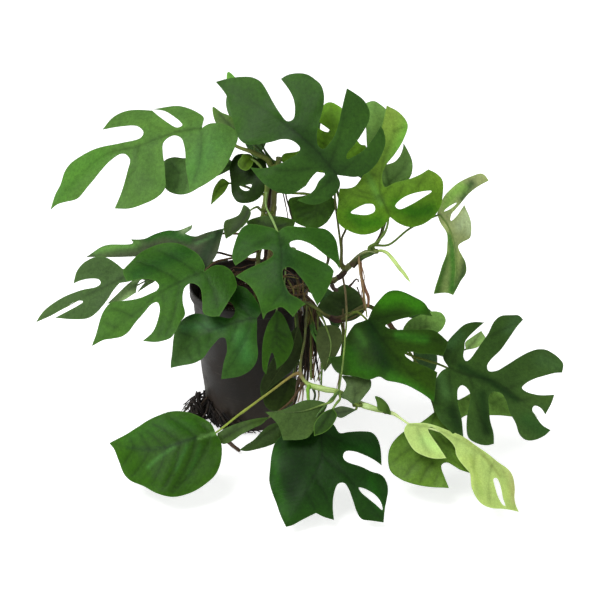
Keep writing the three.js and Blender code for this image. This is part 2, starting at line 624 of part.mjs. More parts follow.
    petiole: [[402, 345, 57], [424, 372, 54], [446, 390, 56]],
  },
  leaf_28: {
    colour: PALE, toward: 118, faces: [20, 50], arch: 0.06, on: "vine_e",
    midrib: [408, 424, 441, 431, 475, 450, 503, 474, 519, 511],
    outline: [
      [408, 423, 426, 424, 441, 427, 455, 432.5, 468, 439.5, 482, 449.5, 496, 459.5, 507, 469, 513.5, 479,
        515.5, 488, 515, 497, 516.5, 505],
      [519.3, 511.6, 511, 510, 502, 509, 493, 508.5, 484.5, 505.5, 477, 499, 472, 489, 470, 473, 466, 469,
        460, 462, 456, 454, 455, 448, 449, 440, 441, 432.5, 434, 428, 429.5, 427, 428, 430, 433, 438, 440,
        449],
      [446.5, 458, 438, 458.5, 428, 457, 416, 451, 408, 441, 404, 432, 405, 427],
    ],
    holes: [[493.3, 479, 496, 478, 499, 482.5, 501.7, 490, 503.5, 499, 505.2, 506, 502.5, 504.5, 499.5, 499,
      496, 490.5]],
    petiole: [[391, 413, 113], [400, 418, 115]],
  },
  leaf_29: {
    colour: MIDDLE, toward: 86, faces: [-5, 55], on: "vine_d",
    midrib: [436, 411, 428, 438, 432, 462, 451, 488],
    outline: [
      [436, 410, 422, 421, 403, 431, 392, 443, 388, 457, 390, 470, 400, 479, 413, 484, 430, 487],
      [449, 488, 445, 477, 441.5, 465, 447, 462.5, 454, 465.5, 461, 470],
      [471, 474, 472, 458, 462, 440, 450, 424],
    ],
    petiole: [[399, 340, 54], [414, 372, 66], [430, 396, 77]],
  },
  leaf_30: {
    colour: DARK, toward: 116, faces: [0, 45], fold: -0.1, on: "vine_e",
    midrib: [318, 421, 322, 455, 308, 487, 286, 527],
    outline: [
      [318, 420, 326, 421, 334, 425, 340, 432, 349, 431, 363, 431, 373, 433, 380, 442],
      [382.3, 464, 373, 458, 365, 454, 354, 451, 345, 452, 343, 457, 346, 461, 361, 466.5, 373, 471,
        380, 472, 384.5, 475.5, 387.7, 483, 388.4, 491, 387, 500, 385.4, 508, 384.6, 515],
      [384, 522.5, 372, 520.7, 362, 519, 357, 512, 353, 500, 349, 489, 344, 483, 338, 484, 334, 494,
        333, 508],
      [334, 520, 324, 517],
      [316, 513, 302, 520, 293, 525],
      [286, 527, 280, 514, 276, 503, 272, 492, 269, 480, 270, 467, 272, 452, 276, 440, 290, 428, 305, 421],
    ],
    holes: [[359, 487, 364, 487.8, 370, 491, 376, 495.5, 380.3, 500.5, 382.6, 506, 382.8, 510, 376.5, 504.8,
      368, 498, 361.5, 492]],
    petiole: [[310, 385, 91], [308, 392, 97], [309, 402, 106]],
  },
  leaf_31: {
    colour: MIDDLE, toward: 105, faces: [-15, 50], fold: -0.12, arch: 0.08, on: "vine_e",
    midrib: [216, 433, 197, 437, 177, 444, 160, 449, 136, 449, 109, 443],
    outline: [
      [216, 433, 211, 424, 203, 418, 193, 413, 180, 411, 169, 412, 160, 415, 148, 420, 136, 428, 126, 435],
      [109, 443, 115, 450, 118, 460, 122, 471, 129, 480, 143, 486, 156, 493, 167, 496, 177, 496, 193, 491,
        206, 483, 215, 475, 220, 465, 222, 453, 221, 441],
    ],
    petiole: [[299, 374, 86], [270, 392, 92], [240, 414, 99]],
  },
  leaf_32: {
    colour: DARK, toward: 128, faces: [-10, 45], on: "vine_e",
    midrib: [326, 404, 300, 412, 265, 412],
    outline: [
      [265, 412, 280, 411, 291, 407, 303, 401, 314, 400, 327, 404, 322, 416, 315, 429, 308, 438, 299, 440,
        290, 440],
      [283, 440, 278, 425, 270, 416],
    ],
    petiole: [[338, 391.5, 100], [334, 398, 114], [330, 402.5, 125]],
  },
  leaf_33: {
    colour: DARK, toward: 90, faces: [0, 40], on: "vine_e",
    midrib: [268, 418, 245, 426, 220, 440],
    outline: [[217, 433, 226, 427.5, 238, 423, 254, 419], [269, 417, 262, 424, 254, 428, 241, 435, 232, 441,
      223, 444, 218, 439.5]],
    petiole: [[305, 383, 89], [290, 402, 88]],
  },
  leaf_34: {
    colour: DARK, toward: 113, faces: [0, 40], on: "vine_e",
    midrib: [354, 403, 355, 392, 350, 377],
    outline: [[342, 376, 350, 376, 370, 379, 371, 386, 366, 394, 359, 402, 353, 404, 347, 400, 341, 397,
      345, 389, 346, 383]],
    petiole: [[362, 404, 107], [359, 406, 114]],
  },
  leaf_35: {
    colour: DARK, toward: 121, faces: [20, 40], on: "vine_e",
    midrib: [389, 413, 386, 403, 375, 396],
    outline: [[375, 396, 383, 399, 389, 406, 391, 415, 384, 412, 378, 410, 377, 403]],
    petiole: [[386, 412, 112], [389, 413, 117]],
  },
  leaf_36: {
    colour: BRIGHT, toward: 140, faces: [0, 45], on: "vine_e",
    midrib: [333, 408, 325, 420, 314, 436],
    outline: [[333, 408, 337, 415, 334, 423, 328, 430, 321, 434], [314, 436, 314, 424, 318, 417, 325, 411]],
    petiole: [[342, 393, 101], [340, 399, 122], [336, 404, 136]],
  },
  leaf_37: {
    colour: DARK, toward: 42, faces: [0, 40], on: "vine_d",
    midrib: [342, 320, 343, 304, 345, 284],
    outline: [[345, 284, 360, 294, 366, 308, 356, 319, 342, 322, 326, 318, 317, 308, 329, 295]],
    petiole: [[333, 319, 62], [337, 322, 50]],
  },
  leaf_38: {
    colour: BRIGHT, toward: 36, faces: [35, 45], on: "vine_d",
    midrib: [467, 349, 474, 342, 481, 331],
    outline: [[466, 350, 465, 343, 472, 337], [481, 331, 485, 340, 478, 347]],
    petiole: [[395, 333, 51], [425, 350, 46], [452, 352, 38]],
  },
  leaf_39: {
    colour: DARK, toward: 86, faces: [0, 35], on: "vine_d",
    midrib: [326, 327, 331, 345, 325, 371],
    outline: [
      [319, 327, 331, 325, 340, 329, 342, 341, 338, 352, 332, 362],
      [324.5, 372, 321, 362, 317, 350, 316, 338],
    ],
    petiole: [[320, 312, 56], [323, 319, 74]],
  },
  leaf_40: {
    colour: DARK, toward: 62, faces: [0, 20], on: "soil",
    midrib: [288, 381, 284, 395, 276, 410],
    outline: [[266, 386, 277, 381, 290, 377, 298, 381, 299, 392, 293, 402, 284, 408, 274, 411, 266, 407,
      263, 397]],
    petiole: [at(31, -35, 100), at(34, -37, 136), at(44, -44, 153), [296, 325, 57], [299, 352, 57],
      [294, 372, 56]],
  },
  leaf_41: {
    colour: DARK, toward: 114, faces: [0, 40], on: "vine_e",
    midrib: [357, 409, 347, 411, 335, 414],
    outline: [[333, 409, 341, 406.5, 350, 407.5], [357, 409.5, 350, 413.5, 341, 418, 335, 415]],
    petiole: [[356, 402, 105], [356.5, 406, 109]],
  },
  leaf_42: {
    colour: BRIGHT, toward: 66, faces: [10, 40], on: "stem_b",
    midrib: [251, 158, 246, 163, 242, 170],
    outline: [[250, 153.5, 253, 157, 253.3, 162, 251, 167, 247, 170.7, 242, 169.7, 238, 165.5, 238.3, 160.5,
      241, 157, 243, 153.5]],
    petiole: [[268, 178, 72], [262, 169, 78], [255, 161, 72]],
  },
};

// Leaves on the far side grow to the shape of a leaf of the near side, turned about its base, sized,
// and placed with their upper faces away from the eye.
function like(model, { base, turned: degrees, size, ...rest }) {
  const from = LEAVES[model];
  const centre = new THREE.Vector2(from.midrib[0], from.midrib[1]);
  const shift = new THREE.Vector2(...base);
  const moved = (numbers) => {
    return pairs(numbers).flatMap((point) => {
      const spun = point.rotateAround(centre, THREE.MathUtils.degToRad(degrees)).sub(centre);
      return spun.multiplyScalar(size).add(shift).toArray();
    });
  };
  const { outline, midrib, holes = [] } = from;
  return { ...from, outline: outline.map(moved), holes: holes.map(moved), midrib: moved(midrib), ...rest };
}

LEAVES.leaf_back_1 = like("leaf_13", {
  base: [311, 153], turned: -135, size: 0.6, toward: 8, faces: [165, 5], on: "stem_a",
  petiole: [[281, 170, 66], [294, 163, 46], [304, 158, 24]],
});
LEAVES.leaf_back_2 = like("leaf_02", {
  base: [255, 158], turned: 90, size: 1, toward: 0, faces: [185, -16], on: "stem_a",
  petiole: [[283, 166, 64], [274, 161, 44], [262, 158, 16]],
});
LEAVES.leaf_back_3 = like("leaf_21", {
  base: [373, 185], turned: 120, size: 0.8, toward: 8, faces: [165, -16], on: "vine_c",
  petiole: [[363, 253, 60], [372, 248, 38], [382, 229, 26], [379, 210, 16]],
});
LEAVES.leaf_back_4 = like("leaf_21", {
  base: [437, 332], turned: 0, size: 0.8, toward: 4, faces: [185, 2], on: "vine_d",
  petiole: [[401, 343, 56], [408, 345, 34], [428, 342, 10]],
});
LEAVES.leaf_back_5 = like("leaf_24", {
  base: [253, 277], turned: 75, size: 1, toward: -58, faces: [180, 0], on: "soil",
  petiole: [at(24, 14, 100), at(27, 30, 138), at(30, 55, 153), at(18, 67, 146)],
});
LEAVES.leaf_back_6 = like("leaf_13", {
  base: [300, 277], turned: 30, size: 0.95, toward: -74, faces: [180, -4], on: "soil",
  petiole: [at(33, 12, 100), at(36, 28, 138), at(38, 54, 153), at(46, 74, 148)],
});

// ---- Stems ----
const STEMS = {
  stem_a: {
    radius: 3.2, colour: 0x6b5b34,
    path: [at(20, -6.5, 96), at(20, -6.5, 150), at(23.5, -6.5, 200), at(26.5, -6.5, 250), at(31, -6, 283)],
  },
  stem_b: {
    radius: 2.6, colour: 0x5f6a35,
    path: [at(8, -10, 96), at(8, -10, 150), at(12, -11, 200), at(18, -12, 245), at(22, -10, 270)],
  },
  vine_c: {
    radius: 3.2, colour: 0x66602f,
    path: [at(36, -6, 96), at(40, -10, 138), at(57, -20, 152), [322, 285, 46], [339, 277, 57], [350, 265,
      59], [363, 254, 61], [378, 251, 62]],
    roots: [
      [[360, 256, 60], [360.5, 266, 64], [362, 280, 67], [364, 297, 68], [366, 311, 66]],
      [[345, 271, 58], [347, 288, 60], [346, 306, 62]],
    ],
  },
  vine_d: {
    radius: 2.7, colour: 0x6a4630,
    path: [at(34, -24, 96), at(38, -29, 138), at(48.5, -38, 152), [312, 305, 54], [333, 318, 62], [349, 314,
      60], [368, 306, 52], [388, 322, 48], [404, 350, 58]],
    roots: [
      [[312, 305, 55], [311, 330, 60], [311, 356, 62], [311, 380, 66]],
      [[318, 309, 56], [318, 328, 62], [323, 352, 68], [321, 380, 72]],
      [[340, 317, 61], [343, 335, 66], [341, 360, 70], [339, 387, 76]],
    ],
  },
  vine_e: {
    radius: 2.4, colour: 0x7f9a45,
    path: [[308, 302, 60], [306, 318, 66], [305, 337, 73], [301, 360, 82], [301, 375, 87], [308, 384, 90],
      [324, 389, 95], [339, 392, 100], [358, 403, 106], [376, 409, 110], [391, 413, 113]],
  },
};
// Dried roots: a bundle spilling over the rim and down the pot's right side, a tangle that has grown
// out at the pot's left foot, and a stub lying in front of it.
const ROOTS = {
  roots_rim: {
    radius: 1.6, colour: 0x5a4530,
    strands: [
      [at(38, -16, 104), at(44, -23, 142), at(53, -29, 150), at(61, -33, 138), at(58, -31, 112),
        at(54, -29, 88)],
      [at(53, -29, 150), at(64, -30, 136), at(64, -26, 108), at(60, -22, 76)],
      [at(53, -29, 150), at(60, -36, 134), at(56, -38, 104), at(49, -37, 62)],
      [at(53, -29, 150), at(65, -35, 130), at(64, -36, 100), at(58, -38, 60)],
      [at(53, -29, 150), at(62, -37, 126), at(61, -40, 92), at(53, -42, 52)],
      [at(53, -29, 150), at(67, -31, 124), at(68, -31, 92), at(63, -33, 56)],
    ],
  },
  roots_foot: {
    radius: 1.8, colour: 0x2f2620,
    strands: [
      [at(-41, -20.4, 3), at(-56, -28, 4), at(-68, -24, 3)],
      [at(-46, -20, 3), at(-51, -26, 16), at(-57, -22, 23), at(-64, -16, 12), at(-69, -12, 3)],
      [at(-46, -22, 3), at(-54, -32, 10), at(-58, -40, 3)],
      [at(-48, -22, 4), at(-53, -20, 22), at(-52, -14, 29), at(-60, -18, 15), at(-56, -26, 4)],
      [at(-45, -22, 3), at(-60, -34, 6), at(-66, -42, 3)],
    ],
  },
  root_stub: {
    radius: 2.4, colour: 0x4a3424,
    strands: [[at(-20.4, -41, 4), at(-24, -58, 3.2), at(-19, -70, 3), at(-9, -88, 5)]],
  },
};
const STAKE_RADIUS = 2.5;
const STAKE = [at(10, 0, 40), at(22.4, 0, 262)];
// The next leaf, still rolled up, at vine_c's end.
const SHOOT_RADIUS = 1.5;
const SHOOT = [[379, 252, 62], [387, 253, 64], [398, 266, 68], [411, 283, 72]];

const route = (points) => points.map((point) => (point.isVector3 ? point.clone() : seen(...point)));

const stemCurves = {};
for (const [name, { path }] of Object.entries(STEMS)) {
  stemCurves[name] = new THREE.CatmullRomCurve3(route(path), false, "centripetal");
}

// Starts a petiole on the surface of the stem that carries it, CLEARANCE off. It heads straight out
// from the stem's side, or straight on from the stem's end.
function seated(points, stemName) {
  const stem = stemCurves[stemName];
  const samples = 200;
  const spaced = stem.getSpacedPoints(samples);
  const distances = spaced.map((place) => place.distanceTo(points[0]));
  const nearest = distances.indexOf(Math.min(...distances));
  const axis = spaced[nearest];
  const tangent = stem.getTangentAt(nearest / samples);
  const heading = points[1].clone().sub(axis);
  const atEnd = nearest === samples && heading.dot(tangent) > 0.7 * heading.length();
  if (atEnd) {
    const start = axis.clone().addScaledVector(tangent, CLEARANCE + 0.05);
    return [start, start.clone().addScaledVector(tangent, 3), ...points.slice(1)];
  }
  const outward = heading.addScaledVector(tangent, -heading.dot(tangent)).normalize();
  const start = axis.clone().addScaledVector(outward, STEMS[stemName].radius + CLEARANCE);
  return [start, start.clone().addScaledVector(outward, 2.5), ...points.slice(1)];
}

// The petiole runs on just under the blade for a little way, as the root of its midrib.
function petiolePath(leaf) {
  const points = route(leaf.petiole);
  const start = leaf.on === "soil" ? points : seated(points, leaf.on);
  const ribs = new THREE.SplineCurve(pairs(leaf.midrib));
  const [baseX, baseY] = leaf.midrib;
  const side = leafNormal(leaf, baseX, baseY).dot(TOWARD) > 0 ? -1 : 1;
  const onRib = [0.04, 0.16].map((along) => {
    const rib = ribs.getPoint(along);
    const normal = leafNormal(leaf, rib.x, rib.y);
    return onLeaf(leaf, rib.x, rib.y).addScaledVector(normal, side * BLADE_THICKNESS);
  });
  return [...start, ...onRib];
}

// ---- Pot ----
function pot() {
  return turned([
    [0, 0],
    [POT_BASE_RADIUS, 0],
    [POT_RIM_RADIUS - RIM_LIP, POT_HEIGHT - RIM_DEPTH],
    [POT_RIM_RADIUS, POT_HEIGHT - RIM_DEPTH + 1],
    [POT_RIM_RADIUS, POT_HEIGHT],
    [POT_RIM_RADIUS - POT_WALL, POT_HEIGHT],
    [POT_RIM_RADIUS - RIM_LIP - POT_WALL, POT_HEIGHT - RIM_DEPTH],
    [POT_BASE_RADIUS - POT_WALL, POT_WALL],
    [0, POT_WALL],
  ]);
}

// The potting soil fills the pot to a little below the rim, with a plain hole for each stem.
function soil(stemHoles) {
  const top = POT_HEIGHT - SOIL_DEPTH_BELOW_RIM;
  const innerAt = (height) => {
    const shoulder = POT_HEIGHT - RIM_DEPTH;
    const wall = POT_BASE_RADIUS + ((POT_RIM_RADIUS - RIM_LIP - POT_BASE_RADIUS) * height) / shoulder;
    return wall - POT_WALL - CLEARANCE - HOLE_SLACK;
  };
  const low = POT_WALL + CLEARANCE;
  const body = turned([
    [0, low],
    [innerAt(low), low],
    [innerAt(top - 3), top - 3],
    [innerAt(top) - 4, top],
    [20, top + 3],
    [0, top + 2],
  ], 28);
  return stemHoles.reduce((rest, hole) => rest.subtract(hole), body);
}

// The same tube as the stem, CLEARANCE wider, and a little deeper than the stem's foot.
function holeFor(path, radius, cut) {
  const wide = radius + CLEARANCE + HOLE_SLACK;
  const deeper = path[0].clone().sub(path[1]).setLength(2 * CLEARANCE);
  const foot = [path[0].clone().add(deeper), path[0].clone().lerp(path[1], 0.2)];
  return tube(path, wide, cut).add(tube(foot, wide, cut));
}

const plant = new THREE.Group();
const holes = [];

for (const [name, { path, radius, colour, roots = [] }] of Object.entries(STEMS)) {
  const strands = roots.map((root) => tube(route(root), STRAND_RADIUS, STRAND_CUT));
  const main = tube(route(path), radius, STEM_CUT);
  plant.add(meshOf(name, strands.reduce((body, strand) => body.add(strand), main), colour, 0.7));
  if (path[0].isVector3) holes.push(holeFor(route(path), radius, STEM_CUT));
}

for (const [name, { radius, colour, strands }] of Object.entries(ROOTS)) {
  const bodies = strands.map((strand) => tube(strand, radius, ROOT_CUT));
  plant.add(meshOf(name, bodies.reduce((all, body) => all.add(body)), colour, 0.9));
  if (name === "roots_rim") holes.push(holeFor(strands[0], radius, ROOT_CUT));
}

plant.add(meshOf("stake", tube(STAKE, STAKE_RADIUS, STAKE_CUT), 0x3a2c22, 0.8));
holes.push(holeFor(STAKE, STAKE_RADIUS, STAKE_CUT));

const shoot = tube(seated(route(SHOOT), "vine_c"), SHOOT_RADIUS, PETIOLE_CUT);
plant.add(meshOf("shoot", shoot, PALE, 0.5));

for (const [name, leaf] of Object.entries(LEAVES)) {
  const path = petiolePath(leaf);
  const body = blade(leaf).add(tube(path, PETIOLE_RADIUS, PETIOLE_CUT));
  plant.add(meshOf(name, body, leaf.colour, 0.45));
  if (leaf.on === "soil") holes.push(holeFor(path, PETIOLE_RADIUS, PETIOLE_CUT));
}

plant.add(meshOf("pot", pot(), 0x2e2729, 0.5));
plant.add(meshOf("soil", soil(holes), 0x1e1813, 0.95));

export default plant;
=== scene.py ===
# A mini monstera in its nursery pot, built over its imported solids, +Z up, standing on z = 0.
# Tables and sizes are in millimetres, and MM turns them to metres.
import json
import math
import random

import bpy
import numpy as np
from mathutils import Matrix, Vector, noise
from mathutils.geometry import delaunay_2d_cdt


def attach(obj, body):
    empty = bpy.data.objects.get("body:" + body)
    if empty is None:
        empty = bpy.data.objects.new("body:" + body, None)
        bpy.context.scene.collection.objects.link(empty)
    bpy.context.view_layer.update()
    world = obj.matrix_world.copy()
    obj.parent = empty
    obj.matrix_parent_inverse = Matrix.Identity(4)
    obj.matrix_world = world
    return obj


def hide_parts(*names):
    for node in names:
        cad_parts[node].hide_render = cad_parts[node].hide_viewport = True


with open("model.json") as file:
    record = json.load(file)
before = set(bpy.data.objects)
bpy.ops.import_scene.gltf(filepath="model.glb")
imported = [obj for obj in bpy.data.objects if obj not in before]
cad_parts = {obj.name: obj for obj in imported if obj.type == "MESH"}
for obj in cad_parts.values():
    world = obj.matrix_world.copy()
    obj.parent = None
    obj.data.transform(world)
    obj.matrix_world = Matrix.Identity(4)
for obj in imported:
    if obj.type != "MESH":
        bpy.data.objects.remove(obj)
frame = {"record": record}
bpy.ops.object.select_all(action="DESELECT")
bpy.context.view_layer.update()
MM = 0.001

# ---- Camera ----
# The eye is 1.8 m away and 27 degrees up. The window is a 600 mm square in front of it, tipped back with
# the view: leaves and vines are placed by mm across it, down it, and out of it towards the eye.
EYE_DISTANCE = 1800
EYE_LIFT = math.radians(27)
WINDOW = 600
WINDOW_MIDDLE = np.array([51, 0, 127])
ACROSS = np.array([1, 0, 0])
UP_WINDOW = np.array([0, math.sin(EYE_LIFT), math.cos(EYE_LIFT)])
TOWARD = np.array([0, -math.cos(EYE_LIFT), math.sin(EYE_LIFT)])


def seen(across, down, toward):
    """World places, in mm, of places in the window. Each argument is a number or an array of them."""
    across, down, toward = (np.atleast_1d(value).astype(float) for value in (across, down, toward))
    nearer = (EYE_DISTANCE - toward) / EYE_DISTANCE
    sideways = ((across - WINDOW / 2) * nearer)[:, None] * ACROSS
    upwards = ((WINDOW / 2 - down) * nearer)[:, None] * UP_WINDOW
    return WINDOW_MIDDLE + sideways + upwards + toward[:, None] * TOWARD


eye = (WINDOW_MIDDLE + TOWARD * EYE_DISTANCE) * MM
bpy.ops.object.camera_add(location=eye, rotation=(math.pi / 2 - EYE_LIFT, 0, 0))
camera = bpy.context.object
camera.name = "camera"
camera.data.sensor_fit = "HORIZONTAL"
camera.data.angle = 2 * math.atan(WINDOW / 2 / EYE_DISTANCE)
bpy.context.scene.camera = camera

# ---- Pot ----
# A thin nursery pot of dark brown polypropylene, moulded in one piece: a tapered wall, a stiffening band
# round the rim with a rolled edge, and a flat base. It is dusty, and dented at the foot.
POT_HEIGHT = 145
POT_RIM_RADIUS = 59
POT_BASE_RADIUS = 44.5
POT_WALL = 1.3
RIM_DEPTH = 11
RIM_LIP = 2.6
FOOT_INSET = 1.4
FOOT_RISE = 1.2
POT_SIDES = 96
WALL_COURSES = 16
WARP_DEPTH = 0.5
WARP_SIZE = 26
DENT_DEPTH = 0.9
DENT_SIZE = 9
DENT_REACH = 55


class Wires:
    """Adds nodes to a material's tree or a group's, and joins them. Inputs are sockets or plain values."""

    def __init__(self, tree):
        self.tree = tree

    def add(self, kind, inputs=None, **settings):
        made = self.tree.nodes.new(kind)
        for key, value in settings.items():
            setattr(made, key, value)
        for key, value in (inputs or {}).items():
            if isinstance(value, bpy.types.NodeSocket):
                self.tree.links.new(value, made.inputs[key])
            else:
                made.inputs[key].default_value = value
        return made

    def maths(self, operation, *values):
        return self.add("ShaderNodeMath", dict(enumerate(values)), operation=operation).outputs[0]

    def product(self, first, *others):
        for value in others:
            first = self.maths("MULTIPLY", first, value)
        return first

    def total(self, first, *others):
        for value in others:
            first = self.maths("ADD", first, value)
        return first

    def less(self, first, second):
        return self.maths("SUBTRACT", first, second)

    def blended(self, share, first, second, blend_type="MIX"):
        inputs = {0: share, 6: first, 7: second}
        return self.add("ShaderNodeMix", inputs, data_type="RGBA", blend_type=blend_type).outputs[2]

    def shaded(self, colour, light):
        tint = self.add("ShaderNodeCombineColor", {0: light, 1: light, 2: light}).outputs[0]
        return self.blended(1.0, colour, tint, "MULTIPLY")

    def ranged(self, value, low, high, to_low=0.0, to_high=1.0, smooth=True):
        inputs = {"Value": value, "From Min": low, "From Max": high, "To Min": to_low, "To Max": to_high}
        kind = "SMOOTHSTEP" if smooth else "LINEAR"
        return self.add("ShaderNodeMapRange", inputs, interpolation_type=kind).outputs["Result"]

    def clouds(self, place, scale, detail=4.0, roughness=0.55):
        inputs = {"Vector": place, "Scale": scale, "Detail": detail, "Roughness": roughness}
        return self.add("ShaderNodeTexNoise", inputs).outputs["Fac"]

    def place(self, scale=(1, 1, 1)):
        found = self.add("ShaderNodeTexCoord").outputs["Object"]
        return self.add("ShaderNodeMapping", {"Vector": found, "Scale": scale}).outputs[0]

    def stored(self, name, output="Vector"):
        return self.add("ShaderNodeAttribute", attribute_name=name).outputs[output]


def linear(code):
    """The linear colour of an #rrggbb code."""
    parts = [int(code[i:i + 2], 16) / 255 for i in (1, 3, 5)]
    return tuple(part / 12.92 if part <= 0.04045 else ((part + 0.055) / 1.055) ** 2.4 for part in parts)


def paint(code):
    """An #rrggbb code as a node's colour."""
    return (*linear(code), 1)


def new_material(name, roughness, **sockets):
    """A material with a Principled BSDF, whose sockets take the plain values, and its wires."""
    material = bpy.data.materials.new(name)
    material.use_nodes = True
    shader = material.node_tree.nodes["Principled BSDF"]
    shader.inputs["Roughness"].default_value = roughness
    for key, value in sockets.items():
        shader.inputs[key.replace("_", " ")].default_value = value
    return material, Wires(material.node_tree), shader


def new_group(name, inputs, outputs):
    """A node group with named sockets: {name: (kind, default)} in, {name: kind} out."""
    tree = bpy.data.node_groups.new(name, "ShaderNodeTree")
    for key, (kind, value) in inputs.items():
        socket = tree.interface.new_socket(key, in_out="INPUT", socket_type="NodeSocket" + kind)
        socket.default_value = value
    for key, kind in outputs.items():
        tree.interface.new_socket(key, in_out="OUTPUT", socket_type="NodeSocket" + kind)
    wires = Wires(tree)
    given = wires.add("NodeGroupInput").outputs
    return tree, wires, given


def mottle_group():
    """Blotches and fine grain: a colour moved towards a second one in patches, and a height to match."""
    inputs = {
        "Base": ("Color", (0.1, 0.1, 0.1, 1)),
        "Patch": ("Color", (0.2, 0.2, 0.2, 1)),
        "Place": ("Vector", (0, 0, 0)),
        "Patch Scale": ("Float", 40.0),
        "Grain Scale": ("Float", 900.0),
        "Amount": ("Float", 0.6),
    }
    outputs = {"Color": "Color", "Patches": "Float", "Height": "Float"}
    tree, wires, given = new_group("mottle", inputs, outputs)
    patches = wires.ranged(wires.clouds(given["Place"], given["Patch Scale"], 5.0, 0.62), 0.38, 0.68)
    grain = wires.clouds(given["Place"], given["Grain Scale"], 3.0, 0.5)
    mixed = wires.blended(wires.product(patches, given["Amount"]), given["Base"], given["Patch"])
    colour = wires.shaded(mixed, wires.ranged(grain, 0.25, 0.75, 0.82, 1.15, smooth=False))
    height = wires.total(wires.product(patches, 0.5), grain)
    wires.add("NodeGroupOutput", {"Color": colour, "Patches": patches, "Height": height})
    return tree


MOTTLE = mottle_group()


def mottled(wires, **values):
    """Places the mottle group in a material, with this material's values."""
    inputs = {key.replace("_", " ").title(): value for key, value in values.items()}
    return wires.add("ShaderNodeGroup", inputs, node_tree=MOTTLE).outputs


def join(wires, output, shader, socket):
    wires.tree.links.new(output, shader.inputs[socket])


def raised(wires, shader, height, depth, strength=1.0):
    """Gives the shader a bump from a height, depth metres from low to high."""
    bump = wires.add("ShaderNodeBump", {"Height": height, "Distance": depth, "Strength": strength})
    join(wires, bump.outputs[0], shader, "Normal")


def plastic_material():
    """Dark plastic, blotched and scuffed round its wall, with pale dust towards its foot."""
    material, wires, shader = new_material("pot_plastic", 0.42, Specular_IOR_Level=0.3)
    place = wires.place()
    finish = mottled(
        wires, base=paint("#1a1510"), patch=paint("#2f2720"), place=place,
        patch_scale=26.0, grain_scale=1500.0, amount=0.55,
    )
    scuffs = wires.ranged(wires.clouds(wires.place((1, 1, 9)), 60.0, 6.0, 0.7), 0.56, 0.74)
    height = wires.add("ShaderNodeSeparateXYZ", {0: place}).outputs["Z"]
    low = wires.ranged(height, 0.004, 0.05, 0.75, 0.0)
    dust = wires.product(low, wires.clouds(place, 90.0, 5.0, 0.7))
    pale = wires.total(wires.product(scuffs, 0.32), dust)
    join(wires, wires.blended(pale, finish["Color"], paint("#554a40")), shader, "Base Color")
    join(wires, wires.ranged(finish["Patches"], 0.0, 1.0, 0.36, 0.6), shader, "Roughness")
    raised(wires, shader, finish["Height"], 0.00025, 0.5)
    return material


def selected_edges(mesh, wanted):
    """In object mode, selects just the edges whose two ends are all wanted."""
    for face in mesh.polygons:
        face.select = False
    for vertex in mesh.vertices:
        vertex.select = bool(wanted(vertex.co))
    for edge in mesh.edges:
        edge.select = all(mesh.vertices[i].select for i in edge.vertices)


def dented(place):
    """How far the pot's wall stands in or out, in mm, at a place in mm."""
    low = max(0.0, 1 - place.z / DENT_REACH)
    broad = noise.noise(Vector((place.x, place.y, place.z * 1.2)) / WARP_SIZE)
    creased = abs(noise.noise(Vector((place.x, place.y, place.z * 1.6)) / DENT_SIZE + Vector((7, 0, 0))))
    return WARP_DEPTH * broad + DENT_DEPTH * low * (1.2 * broad - 1.6 * creased)


def make_pot():
    """The pot as one ring, extruded up the outside, over the rim and down the inside to the floor."""
    rim, top = POT_RIM_RADIUS, POT_HEIGHT
    shoulder = top - RIM_DEPTH
    wall_top = rim - RIM_LIP
    outside = [(POT_BASE_RADIUS, FOOT_RISE)]
    for i in range(1, WALL_COURSES + 1):
        share = i / WALL_COURSES
        radius = POT_BASE_RADIUS + (wall_top - POT_BASE_RADIUS) * share
        outside.append((radius, FOOT_RISE + (shoulder - FOOT_RISE) * share))
    band = [
        (wall_top + 0.4, shoulder + 0.1), (rim - 0.5, shoulder + 0.4), (rim, shoulder + 1.2),
        (rim - 0.1, shoulder + 5), (rim, top - 2), (rim, top - 0.8), (rim - 0.5, top - 0.1),
        (rim - 1.3, top), (rim - 1.9, top - 0.6), (rim - 2.1, top - 2), (rim - 2.3, shoulder + 2),
        (wall_top - POT_WALL, shoulder),
    ]
    inside = [(radius - POT_WALL, height) for radius, height in reversed(outside[1:-1])]
    floor = [(POT_BASE_RADIUS - POT_WALL, POT_WALL + 0.6), (POT_BASE_RADIUS - 3, POT_WALL)]
    radius_now, height_now = POT_BASE_RADIUS - FOOT_INSET, 0.0
    bpy.ops.mesh.primitive_circle_add(
        vertices=POT_SIDES, radius=radius_now * MM, fill_type="NGON", location=(0, 0, 0)
    )
    pot = bpy.context.object
    bpy.ops.object.mode_set(mode="EDIT")
    bpy.ops.mesh.select_mode(type="EDGE")
    bpy.ops.mesh.select_all(action="SELECT")
    for radius, height in outside + band + inside + floor:
        rise = (0, 0, (height - height_now) * MM)
        bpy.ops.mesh.extrude_edges_move(TRANSFORM_OT_translate={"value": rise})
        widen = radius / radius_now
        bpy.ops.transform.resize(value=(widen, widen, 1), center_override=(0, 0, height * MM))
        radius_now, height_now = radius, height
    bpy.ops.mesh.edge_face_add()
    bpy.ops.mesh.select_all(action="SELECT")
    bpy.ops.mesh.normals_make_consistent(inside=False)
    bpy.ops.object.mode_set(mode="OBJECT")
    for vertex in pot.data.vertices:
        place = vertex.co / MM
        outwards = Vector((place.x, place.y, 0))
        on_wall = place.z > 1 and outwards.length > POT_BASE_RADIUS - 2
        if on_wall:
            vertex.co += outwards.normalized() * dented(place) * MM
    return pot


pot = make_pot()
pot.name = "pot_shell"
pot.data.materials.append(plastic_material())
bpy.ops.object.shade_smooth_by_angle(angle=math.radians(50))
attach(pot, "root")
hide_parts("pot")

